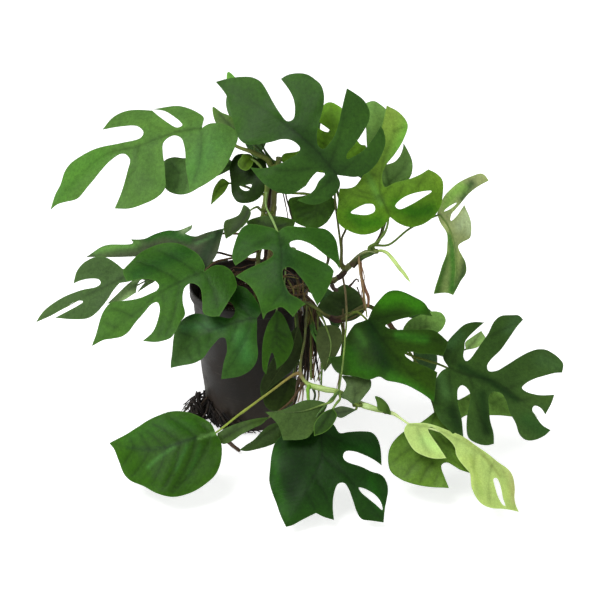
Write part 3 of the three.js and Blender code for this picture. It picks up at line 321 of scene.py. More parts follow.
# ---- Potting soil ----
# Dark peat with bark crumbs and white specks of perlite, filled to about 20 mm under the rim. It stands a
# little proud in the middle, where the stems come up, and its crumbs lie loose on it.
SOIL_TOP = 124
SOIL_CROWN = 3
SOIL_RADIUS = 52.6
SOIL_FOOT_RADIUS = 42.4
SOIL_FOOT = 2
SOIL_SIDES = 72
SOIL_CUTS = 11
LUMP_SIZE, LUMP_HEIGHT = 9, 1.3
CLOD_SIZE, CLOD_HEIGHT = 3.5, 0.7
CRUMB_MARGIN = 3
CRUMB_JAG = 0.25


def soil_material(name, base, patch):
    """Crumbly, dull matter, blotched with the patch colour."""
    material, wires, shader = new_material(name, 0.95, Specular_IOR_Level=0.2)
    finish = mottled(
        wires, base=paint(base), patch=paint(patch), place=wires.place(),
        patch_scale=180.0, grain_scale=1400.0, amount=0.8,
    )
    join(wires, finish["Color"], shader, "Base Color")
    raised(wires, shader, finish["Height"], 0.0012)
    return material


def soil_height(x, y):
    """The soil's surface in mm over a place in mm."""
    crown = SOIL_CROWN * max(0.0, 1 - math.hypot(x, y) / SOIL_RADIUS)
    lumps = noise.noise(Vector((x, y, 0)) / LUMP_SIZE) * LUMP_HEIGHT
    lumps += noise.noise(Vector((x, y, 5)) / CLOD_SIZE) * CLOD_HEIGHT
    return SOIL_TOP + crown + lumps


bpy.ops.mesh.primitive_circle_add(
    vertices=SOIL_SIDES, radius=SOIL_RADIUS * MM, fill_type="TRIFAN", location=(0, 0, SOIL_TOP * MM)
)
soil = bpy.context.object
soil.name = "soil_body"
bpy.ops.object.transform_apply(location=True)
bpy.ops.object.mode_set(mode="EDIT")
bpy.ops.mesh.select_all(action="SELECT")
bpy.ops.mesh.subdivide(number_cuts=SOIL_CUTS)
bpy.ops.object.mode_set(mode="OBJECT")
selected_edges(soil.data, lambda co: math.hypot(co.x, co.y) > (SOIL_RADIUS - 0.3) * MM)
bpy.ops.object.mode_set(mode="EDIT")
bpy.ops.mesh.select_mode(type="EDGE")
drop = (0, 0, (SOIL_FOOT - SOIL_TOP) * MM)
bpy.ops.mesh.extrude_edges_move(TRANSFORM_OT_translate={"value": drop})
narrow = SOIL_FOOT_RADIUS / SOIL_RADIUS
bpy.ops.transform.resize(value=(narrow, narrow, 1), center_override=(0, 0, SOIL_FOOT * MM))
bpy.ops.mesh.edge_face_add()
bpy.ops.mesh.select_all(action="SELECT")
bpy.ops.mesh.normals_make_consistent(inside=False)
bpy.ops.object.mode_set(mode="OBJECT")
for vertex in soil.data.vertices:
    if vertex.co.z > SOIL_TOP / 2 * MM:
        vertex.co.z = soil_height(vertex.co.x / MM, vertex.co.y / MM) * MM
soil.data.materials.append(soil_material("soil_peat", "#1d1611", "#3a2b20"))
bpy.ops.object.shade_smooth()
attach(soil, "root")
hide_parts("soil")


def scattered_crumbs(name, count, sizes, seed, material):
    """Loose crumbs on the soil: one lump, copied, turned and squeezed by a seeded draw, in one mesh."""
    draw = random.Random(seed)
    bpy.ops.mesh.primitive_ico_sphere_add(subdivisions=1, radius=1)
    lump = bpy.context.object
    shape = np.array([vertex.co for vertex in lump.data.vertices])
    faces = np.array([face.vertices for face in lump.data.polygons])
    bpy.data.objects.remove(lump)
    points, corners = [], []
    for i in range(count):
        angle = draw.uniform(0, 2 * math.pi)
        reach = (SOIL_RADIUS - CRUMB_MARGIN) * math.sqrt(draw.uniform(0.01, 1))
        x, y = reach * math.cos(angle), reach * math.sin(angle)
        size = draw.uniform(*sizes)
        squeeze = np.array([draw.uniform(0.6, 1.5), draw.uniform(0.5, 1.0), draw.uniform(0.4, 0.8)])
        spin = draw.uniform(0, math.pi)
        turn = np.array([
            [math.cos(spin), -math.sin(spin), 0], [math.sin(spin), math.cos(spin), 0], [0, 0, 1],
        ])
        jagged = 1 + CRUMB_JAG * np.sin(shape * 7 + i).sum(axis=1, keepdims=True) / 3
        place = [x, y, soil_height(x, y) + 0.2 * size]
        points.append((shape * jagged * squeeze * size) @ turn.T + place)
        corners.append(faces + i * len(shape))
    mesh = bpy.data.meshes.new(name)
    mesh.from_pydata((np.concatenate(points) * MM).tolist(), [], np.concatenate(corners).tolist())
    crumbs = bpy.data.objects.new(name, mesh)
    bpy.context.scene.collection.objects.link(crumbs)
    mesh.materials.append(material)
    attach(crumbs, "root")
    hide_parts("soil")


bark_crumbs = soil_material("soil_bark", "#3b2a1c", "#1a120c")
perlite = soil_material("soil_perlite", "#b9b4a8", "#8d877c")
scattered_crumbs("soil_bark_crumbs", count=420, sizes=(0.7, 2.3), seed=11, material=bark_crumbs)
scattered_crumbs("soil_perlite", count=40, sizes=(0.6, 1.4), seed=12, material=perlite)

# ---- Stake ----
# A split cane, stained dark brown by the damp, pushed into the soil behind the climbing stems to hold them
# up. Its cut top is worn round.
STAKE_RADIUS = 2.5
STAKE_WORN = 0.5
STAKE_WORN_LENGTH = 2
# A swept stem has three low ridges, which twist and come and go along it. Its grain is stored in cm.
RIDGES_ROUND = 3
RIDGE_TWIST = 0.11
RIDGE_BEAT = 0.37
RIDGE_TURN = 6
FIRST_SIDE = [0.3, 0.9, 0.2]
CAP_BULGE = 0.35
GRAIN_UNIT = 10
# What a piece's points can store: the kind of value, and the name of its field.
STORED = {
    "shade": ("FLOAT_COLOR", "color"),
    "grain": ("FLOAT_VECTOR", "vector"),
    "blade": ("FLOAT_COLOR", "color"),
}


def at(x, y, z):
    """A place in the world, where a bare list is a place in the window."""
    return Vector((x, y, z))


def route(points):
    """World places in mm for a list that mixes world and window places."""
    return np.array([tuple(p) if isinstance(p, Vector) else seen(*p)[0] for p in points])


def through(points, closed=False, per_span=14):
    """Dense points on a smooth curve through the points: centripetal Catmull-Rom."""
    points = np.asarray(points, float)
    count = len(points)
    before, after = 2 * points[0] - points[1], 2 * points[-1] - points[-2]
    if closed:
        before, after = points[-1], points[0]
    held = np.vstack([before, points, after] + ([points[1]] if closed else []))
    share = np.linspace(0, 1, per_span, endpoint=False)[:, None]
    out = []
    for k in range(count if closed else count - 1):
        p0, p1, p2, p3 = held[k:k + 4]
        gaps = [math.sqrt(np.linalg.norm(b - a)) for a, b in ((p0, p1), (p1, p2), (p2, p3))]
        middle = gaps[1] if gaps[1] > 1e-4 else 1.0
        first = gaps[0] if gaps[0] > 1e-4 else middle
        last = gaps[2] if gaps[2] > 1e-4 else middle
        start = ((p1 - p0) / first - (p2 - p0) / (first + middle) + (p2 - p1) / middle) * middle
        end = ((p2 - p1) / middle - (p3 - p1) / (middle + last) + (p3 - p2) / last) * middle
        out.append(
            p1 + start * share + (3 * (p2 - p1) - 2 * start - end) * share ** 2
            + (2 * (p1 - p2) + start + end) * share ** 3
        )
    out.append(points[:1] if closed else points[-1:])
    return np.concatenate(out)


def spaced(curve, step):
    """The curve's points again, at even distances of about step."""
    runs = np.concatenate([[0], np.cumsum(np.linalg.norm(np.diff(curve, axis=0), axis=1))])
    stops = np.linspace(0, runs[-1], max(1, round(runs[-1] / step)) + 1)
    return np.stack([np.interp(stops, runs, column) for column in curve.T], axis=1)


def shell(points, faces, **values):
    """A closed surface of a piece: points in mm, faces, and a value or colour for each point."""
    return {"points": np.asarray(points), "faces": faces, **values}


def swept(points, radius_at, sides, step, colour, ridges, seed=0):
    """A round stem along the curve through the points, closed at both ends. radius_at gives its radius in
    mm, and colour is one colour or gives them, for the distances along it and the whole length."""
    middle = spaced(through(points), step)
    if len(middle) < 3:
        middle = spaced(through(points), step / 3)
    ahead = np.gradient(middle, axis=0)
    ahead /= np.linalg.norm(ahead, axis=1, keepdims=True)
    along = np.concatenate([[0], np.cumsum(np.linalg.norm(np.diff(middle, axis=0), axis=1))])
    radius = radius_at(along, along[-1])
    side = np.cross(ahead[0], FIRST_SIDE)
    angles = np.arange(sides) * 2 * math.pi / sides
    rings = []
    for i, place in enumerate(middle):
        side = side - ahead[i] * (side @ ahead[i])
        side /= np.linalg.norm(side)
        across = np.cross(ahead[i], side)
        height = np.sin(along[i] * RIDGE_BEAT + seed)
        bumps = 1 + ridges * np.sin(angles * RIDGES_ROUND + seed + along[i] * RIDGE_TWIST) * height
        outwards = np.cos(angles)[:, None] * side + np.sin(angles)[:, None] * across
        rings.append(place + radius[i] * bumps[:, None] * outwards)
    count = len(rings)
    grid = np.arange(count * sides).reshape(count, sides)
    beside = np.roll(grid, -1, axis=1)
    faces = np.stack([grid[:-1], beside[:-1], beside[1:], grid[1:]], axis=-1).reshape(-1, 4).tolist()
    low, high = count * sides, count * sides + 1
    faces += [[beside[0, i], grid[0, i], low] for i in range(sides)]
    faces += [[grid[-1, i], beside[-1, i], high] for i in range(sides)]
    round_way = np.tile(np.stack([np.cos(angles), np.sin(angles)], axis=1), (count, 1))
    grain = np.column_stack([round_way, np.repeat(along, sides) / GRAIN_UNIT])
    grain = np.vstack([grain, [0, 0, 0], [0, 0, along[-1] / GRAIN_UNIT]])
    caps = np.array([
        middle[0] - ahead[0] * radius[0] * CAP_BULGE, middle[-1] + ahead[-1] * radius[-1] * CAP_BULGE,
    ])
    everywhere = np.vstack([*rings, caps])
    shades = colour(along, along[-1]) if callable(colour) else np.tile(colour, (count, 1))
    shades = np.vstack([np.repeat(shades, sides, axis=0), shades[:1], shades[-1:]])
    return shell(everywhere, faces, shade=shades, grain=grain)


def piece(name, shells, material, node, crease_angle=40):
    """One object made of closed shells, standing for a node, with its stored colours and grain."""
    start, points, faces = 0, [], []
    for part in shells:
        points.append(part["points"])
        faces += [[start + int(i) for i in face] for face in part["faces"]]
        start += len(part["points"])
    mesh = bpy.data.meshes.new(name)
    mesh.from_pydata((np.concatenate(points) * MM).tolist(), [], faces)
    for key, (kind, field) in STORED.items():
        if key not in shells[0]:
            continue
        values = np.concatenate([part[key] for part in shells])
        if field == "color" and values.shape[1] == 3:
            values = np.column_stack([values, np.ones(len(values))])
        stored = mesh.attributes.new(key, kind, "POINT")
        stored.data.foreach_set(field, values.astype(np.float32).ravel())
    mesh.validate()
    made = bpy.data.objects.new(name, mesh)
    bpy.context.scene.collection.objects.link(made)
    mesh.materials.append(material)
    bpy.ops.object.select_all(action="DESELECT")
    made.select_set(True)
    bpy.context.view_layer.objects.active = made
    bpy.ops.object.shade_smooth_by_angle(angle=math.radians(crease_angle))
    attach(made, "root")
    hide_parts(node)


def bark_material(name, patch, amount, roughness, streak=0.5, depth=0.0004):
    """Stem or root skin: its stored colour, streaked lengthwise and blotched with the patch colour."""
    material, wires, shader = new_material(name, roughness, Specular_IOR_Level=0.35)
    grain = wires.stored("grain")
    lengthwise = wires.add("ShaderNodeMapping", {"Vector": grain, "Scale": (2.2, 2.2, 0.35)}).outputs[0]
    streaks = wires.clouds(lengthwise, 2.2, 5.0, 0.65)
    finish = mottled(
        wires, base=wires.stored("shade", "Color"), patch=paint(patch), place=grain,
        patch_scale=1.1, grain_scale=14.0, amount=amount,
    )
    shadow = wires.ranged(streaks, 0.35, 0.65, 1.0 - streak, 1.0 + streak * 0.5)
    join(wires, wires.shaded(finish["Color"], shadow), shader, "Base Color")
    join(wires, wires.ranged(streaks, 0.3, 0.7, roughness - 0.12, roughness + 0.15), shader, "Roughness")
    raised(wires, shader, wires.total(streaks, wires.product(finish["Height"], 0.4)), depth)
    return material


def stake_radius(along, length):
    """The cane's radius: a little uneven, and worn at its top."""
    return STAKE_RADIUS + 0.12 * np.sin(along * 0.13) - STAKE_WORN * (along > length - STAKE_WORN_LENGTH)


stake_route = [at(10, 0, 40), at(16, 0.4, 150), at(22.4, 0, 262)]
cane = swept(stake_route, stake_radius, sides=10, step=4, colour=linear("#4a3426"), ridges=0.07)
piece("stake_cane", [cane], bark_material("stake_wood", "#241812", 0.6, 0.75), "stake")

# ---- Stems and vines ----
# Two climbing stems stand against the stake, and three vines trail over the rim. They are woody and brown at
# the foot and green towards their tips, with a swollen, scarred ring at each leaf joint and dry aerial roots.
STEMS = {
    "stem_a": dict(
        radius=3.2, joints=27, slot="stem_brown", greens=["#4e3d22", "#6d5c30", "#66682f", "#64752f"],
        path=[at(20, -6.5, 96), at(20, -6.5, 150), at(23.5, -6.5, 200), at(26.5, -6.5, 250),
              at(31, -6, 283)],
    ),
    "stem_b": dict(
        radius=2.6, joints=23, slot="stem_green", greens=["#54482a", "#5f6432", "#66752f", "#6f8636"],
        path=[at(8, -10, 96), at(8, -10, 150), at(12, -11, 200), at(18, -12, 245), at(22, -10, 270)],
    ),
    "vine_c": dict(
        radius=2.8, joints=21, slot="stem_brown", greens=["#3c2f1b", "#4a4222", "#56592a", "#687a32"],
        path=[at(36, -6, 96), at(40, -10, 138), at(57, -20, 152), [322, 285, 46], [339, 277, 57],
              [350, 265, 59], [363, 254, 61], [378, 251, 62]],
        roots=[
            [[360, 256, 60], [360.5, 266, 64], [362, 280, 67], [364, 297, 68], [366, 311, 66]],
        ],
        strands=["#86623f", "#9a7350", "#a8825a"], strand_radius=1.9,
    ),
    "vine_d": dict(
        radius=2.4, slot="stem_red",
        stages=[
            (0, 2.2, "#33271a"), (0.3, 2.1, "#3a281b"), (0.4, 1.6, "#5a6030"), (0.49, 1.5, "#5f6e30"),
            (0.52, 2.5, "#3a1d16"), (0.555, 1.8, "#5a4a28"), (0.6, 1.7, "#6b6a36"), (0.7, 2.1, "#5f6a2e"),
            (0.8, 2.2, "#56562a"), (0.86, 2.6, "#8a674c"), (0.92, 2.0, "#56602c"), (1, 1.8, "#515c2a"),
        ],
        path=[at(34, -24, 96), at(38, -29, 138), at(48.5, -38, 152), [312, 305, 54], [333, 318, 62],
              [349, 314, 60], [368, 306, 52], [388, 322, 48], [404, 350, 58]],
        roots=[
            [[312, 305, 55], [311, 330, 60], [311, 356, 62], [311, 380, 66]],
            [[318, 309, 56], [318, 328, 62], [323, 352, 68], [321, 380, 72]],
            [[340, 317, 61], [343, 335, 66], [341, 360, 70], [339, 387, 76]],
        ],
        strands=["#5f6a2c", "#75863a", "#88a04c"], strand_radius=1.1,
    ),
    "vine_e": dict(
        radius=2.4, slot="stem_pale", blotch="#8fae52",
        stages=[
            (0, 1.3, "#3a2c1c"), (0.2, 1.2, "#4a4426"), (0.38, 1.2, "#5a5a2c"), (0.43, 2.3, "#6a5238"),
            (0.47, 1.8, "#8a9050"), (0.52, 2.7, "#9dbb5f"), (0.6, 3.0, "#bdd688"), (0.67, 2.5, "#a8c26c"),
            (0.73, 2.0, "#77733f"), (0.79, 2.8, "#a8c46e"), (0.86, 3.2, "#c4dc96"), (0.93, 2.4, "#aac670"),
            (1, 1.6, "#7f9c4a"),
        ],
        path=[[308, 302, 60], [306, 318, 66], [305, 337, 73], [301, 360, 82], [301, 375, 87], [308, 384, 90],
              [324, 389, 95], [339, 392, 100], [358, 403, 106], [376, 409, 110], [391, 413, 113]],
    ),
}
JOINT_SWELL, JOINT_WIDTH = 0.2, 2.2
SCAR_DEPTH, SCAR_PLACE, SCAR_WIDTH = 0.08, 2.6, 0.8
STEM_FOOT, STEM_THINNING = 1.02, 0.12
AERIAL_TIP = 0.9
HAIRS = 2
HAIR_RADIUS = 0.6
HAIR_SPREAD = 2.6
HAIR_SHADES = ["#6b5136", "#a08055"]


def graded(codes, shares=None):
    """Colours along a stem, blended from each code to the next, evenly or at these shares of its length."""
    stops = np.array([linear(code) for code in codes])
    shares = shares or np.linspace(0, 1, len(codes))

    def colour(along, length):
        return np.stack([np.interp(along / length, shares, column) for column in stops.T], axis=1)

    return colour


def jointed(radius, gap):
    """A stem's radius, swollen at each leaf joint and a little thinner towards its tip."""
    def radius_at(along, length):
        from_joint = (along + gap / 2) % gap - gap / 2
        swollen = JOINT_SWELL * np.exp(-(from_joint / JOINT_WIDTH) ** 2)
        swollen -= SCAR_DEPTH * np.exp(-((from_joint - SCAR_PLACE) / SCAR_WIDTH) ** 2)
        return radius * (STEM_FOOT - STEM_THINNING * along / length + swollen)

    return radius_at


def staged(stages):
    """A stem's radius and colour from rows of the share of its length, the radius there and the colour."""
    shares, radii, codes = zip(*stages)

    def radius_at(along, length):
        return np.interp(along / length, shares, radii)

    return radius_at, graded(codes, shares)


def tapered(foot, tip):
    """A radius that runs evenly from one at the foot to one at the tip."""
    return lambda along, length: foot + (tip - foot) * (along / length)


def strand(line, foot, tip, shades, step=3.0, ridges=0.2, sides=5, draw=None):
    """A thin root along a line of places, from its radius at the foot to the one at the tip, shaded from
    the first code to the last. Where a draw is given, it turns the ridges."""
    seed = draw.random() * RIDGE_TURN if draw else 0
    return swept(line, tapered(foot, tip), sides, step, graded(shades), ridges, seed)


def frayed(points, spread, draw):
    """The same route with each point but the first moved by a seeded draw."""
    moved = np.array(points, float)
    for row in moved[1:]:
        row += [draw.uniform(-spread, spread) for _ in range(3)]
    return moved


draw = random.Random(5)
stem_lines = {}
for name, stem in STEMS.items():
    reach = route(stem["path"])
    stem_lines[name] = spaced(through(reach), 1.0)
    if "stages" in stem:
        radius_at, colour = staged(stem["stages"])
    else:
        radius_at, colour = jointed(stem["radius"], stem["joints"]), graded(stem["greens"])
    shells = [swept(reach, radius_at, sides=12, step=1.6, colour=colour, ridges=0.05, seed=len(name))]
    for root in stem.get("roots", []):
        line = route(root)
        shells.append(strand(line, stem["strand_radius"], AERIAL_TIP, stem["strands"], 2.5, 0.1, sides=7))
        for _ in range(HAIRS):
            thin = frayed(line, HAIR_SPREAD, draw)
            shells.append(strand(thin, HAIR_RADIUS, HAIR_RADIUS / 2, HAIR_SHADES, ridges=0.1))
    skin = bark_material(name + "_skin", stem.get("blotch", "#3c2c1a"), 0.45, 0.5, 0.35)
    piece(name + "_stem", shells, skin, name)

# ---- Dried roots ----
# Aerial roots that have found the way out: a fibrous brown bundle over the rim and down the pot's right
# side, a black, papery tangle at its left foot, and one thick stub in front of it.
ROOTS = {
    "roots_rim": dict(
        radius=1.3, finer=6, spread=5, slot="root_tan", codes=["#33261a", "#5c452e", "#8a6e4a"],
        strands=[
            [at(38, -16, 104), at(44, -23, 142), at(53, -29, 150), at(61, -33, 138), at(58, -31, 112),
             at(54, -29, 88)],
            [at(53, -29, 150), at(64, -30, 136), at(64, -26, 108), at(60, -22, 76)],
            [at(53, -29, 150), at(60, -36, 134), at(56, -38, 104), at(49, -37, 62)],
            [at(53, -29, 150), at(65, -35, 130), at(64, -36, 100), at(58, -38, 60)],
            [at(53, -29, 150), at(62, -37, 126), at(61, -40, 92), at(53, -42, 52)],
            [at(53, -29, 150), at(67, -31, 124), at(68, -31, 92), at(63, -33, 56)],
        ],
    ),
    "roots_foot": dict(
        radius=1.4, finer=7, spread=3.2, slot="root_dark", codes=["#17120f", "#2c2420", "#4a4038"],
        blotch="#120d0a",
        strands=[
            [at(-41, -20.4, 3), at(-56, -28, 4), at(-68, -24, 3)],
            [at(-46, -20, 3), at(-51, -26, 16), at(-57, -22, 23), at(-64, -16, 12), at(-69, -12, 3)],
            [at(-46, -22, 3), at(-54, -32, 10), at(-58, -40, 3)],
            [at(-48, -22, 4), at(-53, -20, 22), at(-52, -14, 29), at(-60, -18, 15), at(-56, -26, 4)],
            [at(-45, -22, 3), at(-60, -34, 6), at(-66, -42, 3)],
        ],
    ),
    "root_stub": dict(
        radius=2.8, finer=0, spread=0, slot="root_dark", codes=["#2c1f15", "#3f2c1d", "#4f3a26"],
        strands=[[at(-20.4, -41, 4), at(-24, -58, 3.2), at(-19, -70, 3), at(-9, -88, 5)]],
    ),
}
ROOT_TAPER = 0.6
FINER_RADIUS = 0.75
FINER_TIP = 0.3
ABOVE_FLOOR = 1.2
WALL_SLOPE = 0.1
# Thin black roots of the tangle at the left foot. Turns are in degrees round the pot, and each range is that
# of a seeded draw: some fan out from the wall to the floor, and some creep down and round the wall.
FAN = dict(
    strands=30, from_middle=47.5, turns=(186, 222), heights=(12, 28), veer=(-14, 12), reach=(58, 70),
    knee=0.8, knee_height=(0.55, 0.85), end_height=(2, 6), radius=1.15, tip=0.5,
    codes=["#100c0a", "#1d1613", "#17120f", "#2c2420", "#5c4a3a"],
)
CREEP = dict(
    strands=26, from_middle=46.5, turns=(195, 262), heights=(4, 24), off_wall=(0, 2), veer=(2, 14),
    radius=1.1, tip=0.5, codes=["#100c0a", "#1d1613", "#2c2420", "#4a3d34"],
)


def at_turn(radius, turn, height):
    """A place in the world by its distance from the pot's middle, its turn round it and its height."""
    return at(radius * math.cos(turn), radius * math.sin(turn), height)


def fanned(draw):
    """The route of a root that leaves the pot's wall and comes down to the floor beside it."""
    turn, height = math.radians(draw.uniform(*FAN["turns"])), draw.uniform(*FAN["heights"])
    begin = at_turn(FAN["from_middle"], turn, height)
    turn += math.radians(draw.uniform(*FAN["veer"]))
    reach = draw.uniform(*FAN["reach"])
    knee = at_turn(FAN["knee"] * reach, turn, height * draw.uniform(*FAN["knee_height"]))
    return route([begin, knee, at_turn(reach, turn, draw.uniform(*FAN["end_height"]))])


def crept(draw):
    """The route of a root that creeps down and round the pot's wall to the floor."""
    turn, height = math.radians(draw.uniform(*CREEP["turns"])), draw.uniform(*CREEP["heights"])
    line = []
    for share in (0, 0.5, 1):
        reach = CREEP["from_middle"] + WALL_SLOPE * height + draw.uniform(*CREEP["off_wall"])
        line.append(at_turn(reach, turn, max(ABOVE_FLOOR, height * (1 - share))))
        turn += math.radians(draw.uniform(*CREEP["veer"]))
    return route(line)


for name, tuft in ROOTS.items():
    draw = random.Random(len(name))
    shells = []
    for places in tuft["strands"]:
        line = route(places)
        shells.append(strand(line, tuft["radius"], tuft["radius"] * ROOT_TAPER, tuft["codes"], 2.0, sides=8))
        for _ in range(tuft["finer"]):
            thin = frayed(line, tuft["spread"], draw)
            thin[:, 2] = np.maximum(thin[:, 2], ABOVE_FLOOR)
            shades = draw.sample(tuft["codes"], 2)
            shells.append(strand(thin, FINER_RADIUS, FINER_TIP, shades, 2.5, 0.25, draw=draw))
    if name == "roots_foot":
        for kind, routed in ((FAN, fanned), (CREEP, crept)):
            for _ in range(kind["strands"]):
                line = routed(draw)
                shades = draw.sample(kind["codes"], 2)
                shells.append(strand(line, kind["radius"], kind["tip"], shades, 2.5, 0.25))
    skin = bark_material(name + "_skin", tuft.get("blotch", "#3a2819"), 0.6, 0.7, 0.6)
    piece(name + "_strands", shells, skin, name)

# ---- Rootlets in the pot ----
# Thin brown rootlets run round the inside of the pot's wall and lie over the soil. A knot of them leans out
# over the rim beside the vines, dark ones hang under it, and loose ones stand among the stems and vines.
ROOTLET_RADIUS = 0.7
ROOTLET_TIP = 0.35
# Each kind's ranges are those of a seeded draw, in mm, but for its sweep in radians round the pot.
ON_WALL = dict(
    strands=26, stops=5, sweep=(0.5, 1.3), reach=(44, 50), heights=(129, 146), sway=(-3, 1), dip=(-4, 3),
    codes=["#3a2619", "#5a3f2a", "#6f5236", "#4a2f28"],
)
ON_SOIL = dict(
    strands=22, stops=(0, 0.35, 0.7, 1), reach=(20, 40), begin_x=(8, 30), begin_y=(-20, 0), sway=(-4, 4),
    bedding=1.0, lift=(0, 5), codes=["#3a2619", "#5a3f2a", "#6f5236"],
)
HANGING = dict(
    strands=34, across=(297, 317), tops=(308, 326), ends=(356, 386), depths=(36, 58), middle=345,
    radius=1.0, tip=0.4, codes=["#1f1710", "#33261a", "#4a3826", "#2a2a18"],
)
KNOT = dict(
    copies=2, spread=1.6, radius=0.85, tip=0.4, codes=["#6f5236", "#8d7044", "#a58a5a", "#8f9440", "#4a3524"],
)
KNOT_LINES = [
    [[282, 277, 38], [291, 275, 46], [300, 279, 49]],
    [[283, 285, 41], [292, 288, 48], [302, 285, 51]],
    [[285, 293, 46], [296, 296, 51], [307, 293, 53]],
    [[286, 301, 49], [297, 302, 53], [311, 300, 56]],
    [[296, 274, 47], [299, 288, 51], [297, 301, 52], [303, 313, 56]],
    [[303, 280, 49], [305, 296, 54], [309, 310, 58], [313, 323, 61]],
    [[288, 280, 44], [294, 292, 49], [292, 306, 52], [299, 318, 57]],
    [[309, 287, 50], [304, 301, 55], [309, 316, 60], [305, 332, 66]],
]
# Each loose root has its route, its radius at the foot and its shades.
LOOSE = [
    ([[299, 376, 86], [301, 388, 88], [298, 402, 92]], 1.1, ["#5a4630", "#a8937c"]),
    ([[300, 377, 86], [303, 390, 88], [302, 403, 92]], 1.1, ["#4a3726", "#b09c88"]),
    ([[298, 377, 85], [296, 390, 87], [293, 402, 90]], 0.9, ["#3a2b1e", "#6b5844"]),
    ([[312, 386, 90], [315, 394, 92], [313, 403, 95]], 1.4, ["#3f5426", "#2f3f1c"]),
    ([[304, 302, 62], [314, 307, 66], [325, 314, 68], [335, 320, 68]], 1.7,
     ["#5f6e30", "#6f7c38", "#5c4a26"]),
    ([[330, 318, 68], [335, 321, 69], [341, 321, 69]], 2.6, ["#33170f", "#4a2018"]),
    ([[341, 320, 68], [350, 314.5, 68], [360, 310, 66], [370, 306, 62]], 1.2,
     ["#6a6a34", "#7a8040", "#6f7c38"]),
    ([[341, 322, 68], [352, 318, 68], [362, 312, 66]], 1.0, ["#4a3a20", "#6f6a38"]),
    ([[343, 277, 60], [345.5, 294, 66], [346.5, 318, 88], [345, 340, 110], [343, 362, 118], [341, 378, 116],
      [339, 391, 104]], 1.1, ["#7a6a50", "#8a8050", "#86a04a", "#86a84a", "#9aba64"]),
    ([[358.8, 256, 66], [359.8, 272, 68], [362.6, 286, 69], [365.2, 302, 70], [367, 317, 70]], 1.0,
     ["#b59a6c", "#b0926a", "#8f9a50"]),
    ([[352, 266, 61], [360, 258.5, 63], [368, 255, 64], [374, 252, 63]], 3.3,
     ["#4a3a1e", "#3f5a1e", "#4a6a24"]),
    ([[356, 258, 67], [362, 253, 68], [368, 251.5, 68], [375, 252.5, 67]], 0.6, ["#8a9060", "#b5c48c"]),
    ([[338, 277.5, 60], [342, 275, 61], [346, 271.5, 61]], 3.1, ["#2f2012", "#3a2a16"]),
    ([[329, 361, 72], [322, 370, 76], [316.5, 381, 80]], 0.8, ["#5f7a40", "#8fa85a"]),
    ([[339, 391.5, 104], [331, 399.5, 122], [323, 408, 130], [316, 417, 132]], 1.5,
     ["#6f9a48", "#5f8a3c", "#557c3c"]),
    ([[318, 387, 92], [319, 395, 94], [317, 404, 97]], 0.9, ["#a09a66", "#7a7040"]),
    ([[313, 322, 60], [315, 330, 63], [319, 338, 66], [322, 350, 70], [322, 366, 74], [321, 386, 80]], 1.4,
     ["#5a8f38", "#66983e", "#6f8a3c"]),
    ([[311, 325, 61], [313, 333, 64], [317, 343, 67]], 1.9, ["#4f8a34", "#6aa844"]),
    ([[343, 309, 60], [344, 330, 64], [343, 350, 68], [340, 370, 72], [338, 391, 78]], 1.0,
     ["#7d7446", "#8a8c50", "#7f9a4c"]),
    ([[338, 327, 62], [334, 340, 65], [328, 354, 68], [324, 364, 70]], 0.7, ["#6f8a40", "#6f8a40"]),
    ([[349, 287, 58], [353, 282.5, 58], [356, 279, 58], [358, 279.5, 58], [358.3, 282, 58]], 1.2,
     ["#4a3a2c", "#5c4c3c"]),
    ([[362, 280, 66], [365, 289, 67], [368.5, 298, 67], [368, 307, 66]], 2.0,
     ["#6f4f38", "#8a6248", "#9a7350"]),
    ([[357, 287, 62], [359, 292, 63], [361, 298, 64]], 0.7, ["#4a3a2c", "#6b5844"]),
    ([[285, 190, 66], [287, 200, 66], [291, 214, 66], [294, 232, 64]], 0.8, ["#2f2a1a", "#4a4428"]),
    ([[282, 188, 66], [285, 202, 66], [288, 218, 66], [289, 236, 64]], 0.7, ["#2f2a1a", "#5a5234"]),
    ([[326, 252, 62], [328.5, 257, 62], [327, 264, 62], [322, 274, 60]], 1.7, ["#4a4a26", "#3a3a1e"]),
    ([[332, 285, 56], [334, 289, 57], [338, 290, 58]], 2.6, ["#4a3c30", "#5c4c42"]),
]
LOOSE_TAPER = 0.6


def along_wall(draw):
    """The route of a rootlet that runs some way round the inside of the pot's wall."""
    start, sweep = draw.uniform(0, 2 * math.pi), draw.uniform(*ON_WALL["sweep"])
    reach, height = draw.uniform(*ON_WALL["reach"]), draw.uniform(*ON_WALL["heights"])
    line = []
    for turn in start + np.linspace(0, sweep, ON_WALL["stops"]):
        x = (reach + draw.uniform(*ON_WALL["sway"])) * math.cos(turn)
        y = (reach + draw.uniform(*ON_WALL["sway"])) * math.sin(turn)
        line.append(at(x, y, height + draw.uniform(*ON_WALL["dip"])))
    return route(line)


def over_soil(draw):
    """The route of a rootlet that lies over the soil, from beside the stems outwards."""
    turn, reach = draw.uniform(0, 2 * math.pi), draw.uniform(*ON_SOIL["reach"])
    begin_x, begin_y = draw.uniform(*ON_SOIL["begin_x"]), draw.uniform(*ON_SOIL["begin_y"])
    line = []
    for share in ON_SOIL["stops"]:
        sway_x, sway_y = (draw.uniform(*ON_SOIL["sway"]) * (share > 0) for _ in range(2))
        x = begin_x * (1 - share) + reach * math.cos(turn) * share + sway_x
        y = begin_y * (1 - share) + reach * math.sin(turn) * share + sway_y
        line.append(at(x, y, soil_height(x, y) + ON_SOIL["bedding"] + draw.uniform(*ON_SOIL["lift"]) * share))
    return route(line)


